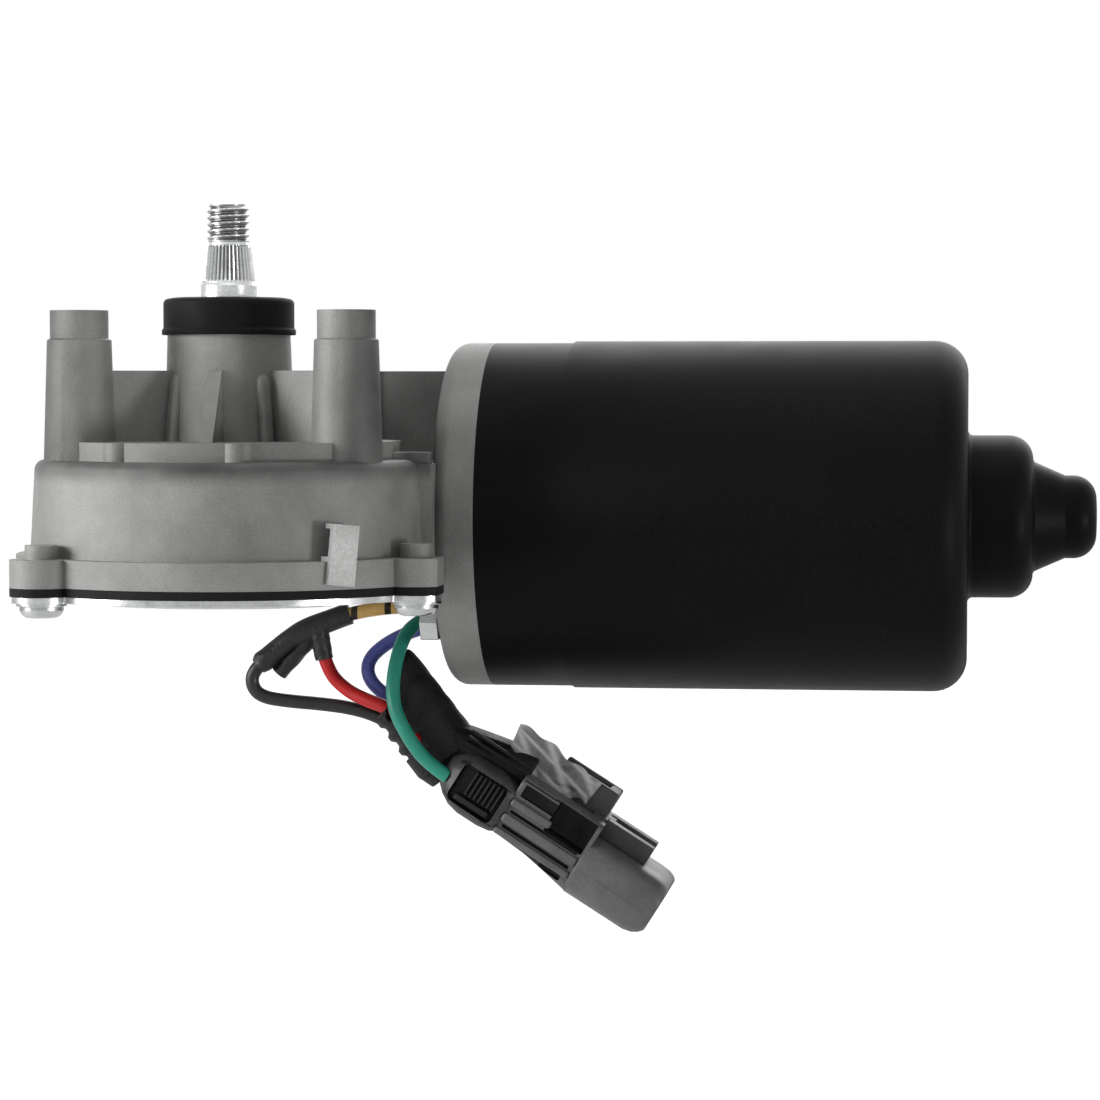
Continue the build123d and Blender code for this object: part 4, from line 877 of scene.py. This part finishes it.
def plug_guide(look, dark):
    """The cap over the leads' entries: a rounded bar whose rear draws in, with a window."""
    stations = [(-1.4, 8.6, -0.6, 4.4, 2), (-0.8, 9.6, -1.4, 5.2, 2.6), (0.6, 10.8, -2.6, 6.4, 3.4),
                (2.6, 11.8, -3.6, 7.2, 3.6), (5, 12, -4.1, 7.3, 3.6), (9.5, 12, -4.1, 7.2, 3.6),
                (12, 11.6, -3.7, 6.7, 3.2), (13, 10.8, -3.2, 6, 2.6)]
    made = plug_piece("plug_guide", [carried(stations)], look, "connector_rear_cap")
    x, z = (1.6, 11.4), (-2.4, 5.6)
    cut_away(made, skins_of(boxes((x, (-13.5, -8.2), z, 1.1)), plug_frame()))
    # The window's faces get the plug plastic's darkest copy: painted shade.
    lined(made, (x, (-11.4, -8.2), z), plug_frame(), dark)


def plug_lock(look):
    """The lock in the window: a floor, a bar along it and seven upright ribs, all in the window's painted
    shade.
    """
    shapes = boxes(((1.8, 11.2), (-9.4, -8.2), (-2.3, 5.5), 0.1),
                   ((3, 10.4), (-11.4, -9.2), (-1.6, -0.5), 0.25))
    for middle in 4.6 + np.arange(7) * 0.98:
        shapes += boxes(((middle - 0.2, middle + 0.2), (-11.7, -9.2), (0.2, 5.2), 0.12))
    plug_piece("plug_lock", shapes, look, "connector_lock")


def plug_housing(look, dark):
    """The body between cap and shroud with its recesses, and the open shroud with its seam."""
    stations = [(12.5, 10.2, -3, 9.2, 1.5), (12.9, 10.5, -3.2, 9.5, 1.6), (20, 10.5, -3.6, 9.5, 1.6),
                (24, 10.5, -4.2, 9.5, 1.6), (29.6, 10.8, -5.2, 9.5, 1.8), (30.2, 10.8, -5.2, 9.5, 1.8)]
    made = plug_piece("plug_housing", [carried(stations)], look, "connector_body")
    cuts = boxes(((20.8, 29.4), (-12, -4.5), (2.4, 8.9)), ((13.6, 22), (-12, -8.6), (5.6, 8.2)),
                 ((23.6, 28.4), (-12, -8.8), (-4.2, -3)), ((13.6, 28.8), (-12, -9.6), (1.9, 2.5)),
                 ((13.6, 28.8), (-12, -9.6), (-1.3, -0.6)))
    cut_away(made, skins_of(cuts, plug_frame()))
    # The recesses' faces get the plug plastic's darkest copy: painted shade.
    lined(made, ((13.6, 29.4), (-10.3, -4.5), (-4.2, 8.9)), plug_frame(), dark)
    end = 47.2
    shroud = [(29.6, 11.4, -5.2, 5.9, 4.6), (29.8, 11.85, -5.6, 6.3, 4.9), (30.2, 12, -5.75, 6.45, 5),
              (end - 3.6, 12, -5.75, 6.45, 5), (end - 1.9, 12, -5.3, 6.3, 5),
              (end - 0.8, 11.9, -4.6, 5.9, 4.8), (end - 0.2, 11.7, -3.9, 5.4, 4.4),
              (end, 11.4, -3.5, 5, 4), (end, 10.9, -3, 4.5, 3.5),
              (end - 0.4, 10.6, -2.9, 4.4, 3.4), (32.4, 10.5, -3.2, 4.7, 3.5)]
    seam = box_points((30.4, end - 3.8), (-12.05, -11.4), (-0.1, 0.1), 0.04)
    shapes = [carried(shroud), seam]
    for side in (-1, 1):
        face = sorted((side * 11.5, side * 10.2))
        shapes += boxes(((12.8, 29.6), face, (-2.9, -1.6), 0.4), ((12.8, 29.6), face, (-0.3, 1.6), 0.5),
                        ((12.8, 21.6), face, (3.2, 4.8), 0.5))
    add_to(made, skins_of(shapes, plug_frame()))


def plug_hood():
    """The ribbed hood behind the upper latch: a low bar with three ribs along it."""
    stations = [(-6, 3.6, 6, 7.6, 0.7), (-5, 5, 4, 9.2, 2.4), (2, 6.6, 2.8, 10.8, 3.6),
                (12.6, 6.8, 4.4, 13.2, 4), (13, 6.4, 4.8, 12.8, 3.8)]
    ribs = boxes(*(((-1, 12.6), (-7.2, -6), (z - 0.25, z + 0.25), 0.15) for z in (8, 9.3, 10.6)))
    plug_piece("plug_hood", [carried(stations), *ribs], conduit_plastic())


def plug_rails(look):
    """The latch rails on top, in two heights."""
    shapes = boxes(((30, 40.6), (-5.5, -2.2), (6.4, 10.2)), ((30, 40.6), (2.2, 5.5), (6.4, 10.2)),
                   ((30.1, 40.5), (-2.4, 2.4), (6.3, 8.1), 0.2),
                   ((27, 31.5), (-5.3, 5.3), (8.2, 10), 0.2),
                   ((13, 29.5), (-4.5, -2.6), (9.3, 15.2), 0.5),
                   ((17, 29.5), (2.6, 4.5), (9.3, 15.2), 0.5),
                   ((27, 29.4), (-4.3, 4.3), (9.4, 15.1), 0.5),
                   ((13.1, 29.3), (-4.3, 4.3), (9.2, 11.5), 0.2))
    plug_piece("plug_rails", shapes, look, "connector_rails")


class WIPER_OT_plug(bpy.types.Operator):
    """Mould the plug: its guide cap, lock, housing, latch rails and hood"""
    bl_idname = "wiper.plug"
    bl_label = "Plug"

    def execute(self, context):
        look = plug_plastic("plug plastic", 1, 0.42, uneven=0.08, shine=0.4, fine=0.1)
        # The guide cap and the rails get the plug plastic at 0.45 of its colour: painted shade.
        dim = plug_plastic("clip plastic", 0.45, 0.45, uneven=0.08, shine=0.3, fine=0.1)
        # The plug plastic at 0.13 of its colour is painted shade in the window, the recesses and the lock.
        dark = plug_plastic("recess plastic", 0.13, 0.5, shine=0.2)
        plug_guide(dim, dark)
        plug_lock(dark)
        plug_housing(look, dark)
        plug_rails(dim)
        plug_hood()
        return {"FINISHED"}


def mark_rim(mesh):
    """Stores how near each point lies to the film's end or a crease: the largest of three waves,
    each raised to a power so that only its crest shows."""
    u, _, v = moved(points_of(mesh), plug_frame().inverted()).T
    a = np.clip((u - 6) / 19.4, 0, 1)
    ends = (1 - 2 * np.minimum(a, 1 - a)) ** 8
    creases = np.maximum(np.abs(np.sin(1.1 * v + 5 * a)) ** 14, np.abs(np.sin(8 * a + 0.5 * v)) ** 10)
    store(mesh, "rim", np.maximum(ends, creases))


def film_face(inset):
    """One face: straight between two wavy edges, and standing off the rail by waves of both
    parameters that fade along the middle, where the film is stuck."""
    a = np.linspace(0, 1, 44)[:, None]
    b = np.linspace(0, 1, 34)
    top = 15.9 + np.sin(4.4 * a + 0.6) * (1 - 0.6 * a) + 0.35 * np.sin(19 * a)
    bottom = 11.6 - 3.6 * np.sin(pi * np.clip(a * 1.12, 0, 1)) ** 0.9 - 1.3 * a ** 3
    u = 6 + 19.4 * a + 1.6 * (1 - b) * np.sin(3 * a + 0.5)
    v = bottom + (top - bottom) * b
    crumple = 0.5 * np.sin(8 * a + 4 * b) + 0.3 * np.sin(13 * b - 6 * a) + 0.2 * np.sin(21 * a + 9 * b)
    edge = np.clip(np.abs(b - 0.55) * 2.2, 0.15, 1)
    w = -4.6 - 0.9 * np.abs(crumple) * edge + inset
    return np.stack([u, w, v], 2)


class WIPER_OT_film(bpy.types.Operator):
    """Stick the crumpled film to the side of the upper latch rail"""
    bl_idname = "wiper.film"
    bl_label = "Film"

    def execute(self, context):
        look = finish("crumpled film", context.scene.wiper_plug.film, 0.3, 0, 160, 1200, 0.45, 0.02, 0.15,
                      alpha=0.88, shine=0.6, fine=0.06, marks_and_shade=stored_shade_and_marks("rim", (0.4, 0.4, 0.4)))
        front, back = film_face(0), film_face(0.12)
        loop = np.concatenate([front, back[:, ::-1]], 1)
        made = piece("rail_film", skins_of([loop], plug_frame()), look, sharp=60)
        mark_rim(made.data)
        return {"FINISHED"}


def inner_looks():
    """Each finish, and the nodes that have it."""
    return {
        finish("sintered bronze", (0.3, 0.19, 0.08), 0.5, 0.9, 200, 2400, 0.2, 0.02):
            "upper_shaft_bush lower_shaft_bush tip_bush front_bush rear_bush",
        finish("rolled brass", (0.55, 0.38, 0.13), 0.3, 1, 160, 2200, 0.12, 0.008):
            "park_disc park_contacts brush_holders",
        finish("turned copper", (0.6, 0.24, 0.12), 0.28, 1, 240, 2600, 0.14, 0.008): "commutator",
        finish("enamelled wire", (0.33, 0.09, 0.03), 0.32, 0.6, 400, 1200, 0.25, 0.08, coat=0.4):
            "armature_windings",
        finish("stamped core", (0.16, 0.16, 0.17), 0.45, 0.9, 120, 2500, 0.2, 0.02): "armature_core",
        finish("ferrite", (0.045, 0.045, 0.048), 0.7, 0, 90, 1800, 0.25, 0.03): "magnets",
        finish("greased acetal", (0.74, 0.71, 0.62), 0.35, 0, 70, 1500, 0.08, 0.01, coat=0.2):
            "worm_wheel thrust_pad",
        finish("phenolic", (0.05, 0.036, 0.026), 0.5, 0, 100, 1700, 0.2, 0.02):
            "contact_carrier brush_card",
        finish("carbon", (0.022, 0.022, 0.024), 0.65, 0.1, 300, 2600, 0.3, 0.03): "brushes",
        finish("tinned blades", (0.62, 0.61, 0.56), 0.3, 1, 260, 2400, 0.1, 0.006): "connector_blades",
        rubber(): "lead_grommet",
        steel(): "shaft_washer thrust_washer shaft_clip wheel_hub armature_shaft bush_retainer "
                 "brush_springs",
    }


class WIPER_OT_inner_parts(bpy.types.Operator):
    """Finish the parts inside, which keep their own shapes"""
    bl_idname = "wiper.inner_parts"
    bl_label = "Inner parts"

    def execute(self, context):
        for look, nodes in inner_looks().items():
            for node in nodes.split():
                for place in frame["nodes"][node].material_slots:
                    place.link = "OBJECT"
                    place.material = look
        return {"FINISHED"}


def pale_floor(values):
    """A wide pale floor below the part: it glows a little, so that it reads as white."""
    half, z = 3, -values.drop
    mesh = bpy.data.meshes.new("floor")
    mesh.from_pydata([(-half, -half, z), (half, -half, z), (half, half, z), (-half, half, z)], [],
                     [(0, 1, 2, 3)])
    pale = bpy.data.materials.new("pale floor")
    pale.use_nodes = True
    tree = pale.node_tree
    seen = node_in(tree, "LightPath").outputs["Is Camera Ray"]
    wire(tree, tree.nodes["Principled BSDF"],
         {"Base Color": (0.86, 0.86, 0.86, 1), "Roughness": 0.9, "Emission Color": (1, 1, 1, 1),
          "Emission Strength": maths(tree, "MULTIPLY", seen, 0.85)})
    mesh.materials.append(pale)
    linked(bpy.data.objects.new("floor", mesh))


def plain_world(values):
    """A plain world: its own strength as light, and white where it is seen or reflected."""
    world = bpy.data.worlds.new("studio")
    world.use_nodes = True
    tree = world.node_tree
    tree.nodes.clear()
    light, white = (node_in(tree, "Background", {"Color": (1, 1, 1, 1), "Strength": strength})
                    for strength in (values.world, 1))
    rays = node_in(tree, "LightPath").outputs
    mirrored = maths(tree, "MAXIMUM", rays["Is Glossy Ray"], rays["Is Transmission Ray"])
    either = maths(tree, "MAXIMUM", mirrored, rays["Is Camera Ray"])
    mix = node_in(tree, "MixShader", {0: either, 1: light.outputs[0], 2: white.outputs[0]})
    node_in(tree, "OutputWorld", {"Surface": mix.outputs[0]})
    bpy.context.scene.world = world


def aimed(name, data, place, target):
    """A lamp or camera at a place, turned so that it looks at a target."""
    made = linked(bpy.data.objects.new(name, data))
    made.location = place
    made.rotation_euler = (Vector(target) - Vector(place)).to_track_quat("-Z", "Y").to_euler()
    return made


def lamp(name, place, size, power):
    """A square area lamp aimed at the middle of the part."""
    data = bpy.data.lights.new(name, "AREA")
    data.size, data.energy = size, power
    aimed(name, data, place, (0.06, 0, -0.04))


def front_camera():
    """The camera: 7 degrees round from the front, 2.8 degrees up, 640 mm away."""
    data = bpy.data.cameras.new("camera")
    data.lens, data.sensor_width = 112.06, 36
    place, target = Vector((138.85, -634.47, -13.33)) * MM, Vector((60.95, 0, -44.59)) * MM
    bpy.context.scene.camera = aimed("camera", data, place, target)


class WIPER_OT_stage(bpy.types.Operator):
    """Set the floor, the lamps, the world and the camera"""
    bl_idname = "wiper.stage"
    bl_label = "Stage"

    def execute(self, context):
        values = context.scene.wiper_stage
        pale_floor(values)
        plain_world(values)
        lamp("left_lamp", (-0.88, -0.42, 0.18), 0.5, values.side)
        lamp("right_lamp", (0.95, -0.45, -0.16), 0.15, values.top)
        lamp("top_lamp", (0.05, -0.1, 0.9), 0.7, 0.5 * values.top)
        lamp("back_lamp", (0.1, 0.8, 0.45), 0.8, 1.5 * values.top)
        front_camera()
        context.scene.view_settings.view_transform = "Standard"
        return {"FINISHED"}


class WIPER_PT_panel(bpy.types.Panel):
    """Lists the motor's settings and pieces."""
    bl_label = "Wiper Motor"
    bl_idname = "WIPER_PT_panel"
    bl_space_type = "VIEW_3D"
    bl_region_type = "UI"
    bl_category = "Wiper Motor"

    def draw(self, context):
        layout = self.layout
        for group in SETTINGS:
            box = layout.box()
            box.label(text=group.replace("wiper_", "").title())
            values = getattr(context.scene, group)
            for name in values.__annotations__:
                box.prop(values, name)
        for step in STEPS:
            layout.operator(step.bl_idname)


SETTINGS = {"wiper_casting": CastingSettings, "wiper_can": CanSettings, "wiper_shaft": ShaftSettings,
            "wiper_leads": LeadSettings, "wiper_plug": PlugSettings, "wiper_stage": StageSettings}
STEPS = (WIPER_OT_stage, WIPER_OT_sleeve, WIPER_OT_conduit, WIPER_OT_plug, WIPER_OT_film, WIPER_OT_leads,
         WIPER_OT_casting, WIPER_OT_can, WIPER_OT_shaft, WIPER_OT_seal, WIPER_OT_cover,
         WIPER_OT_small_metal, WIPER_OT_inner_parts)
CLASSES = (*SETTINGS.values(), *STEPS, WIPER_PT_panel)


def register():
    for kind in CLASSES:
        bpy.utils.register_class(kind)
    for name, group in SETTINGS.items():
        setattr(bpy.types.Scene, name, PointerProperty(type=group))


def unregister():
    for name in SETTINGS:
        delattr(bpy.types.Scene, name)
    for kind in reversed(CLASSES):
        bpy.utils.unregister_class(kind)


def main():
    """Makes every piece."""
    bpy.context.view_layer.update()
    register()
    for step in STEPS:
        getattr(bpy.ops.wiper, step.bl_idname.split(".")[1])()
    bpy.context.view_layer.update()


if __name__ == "__main__":
    main()
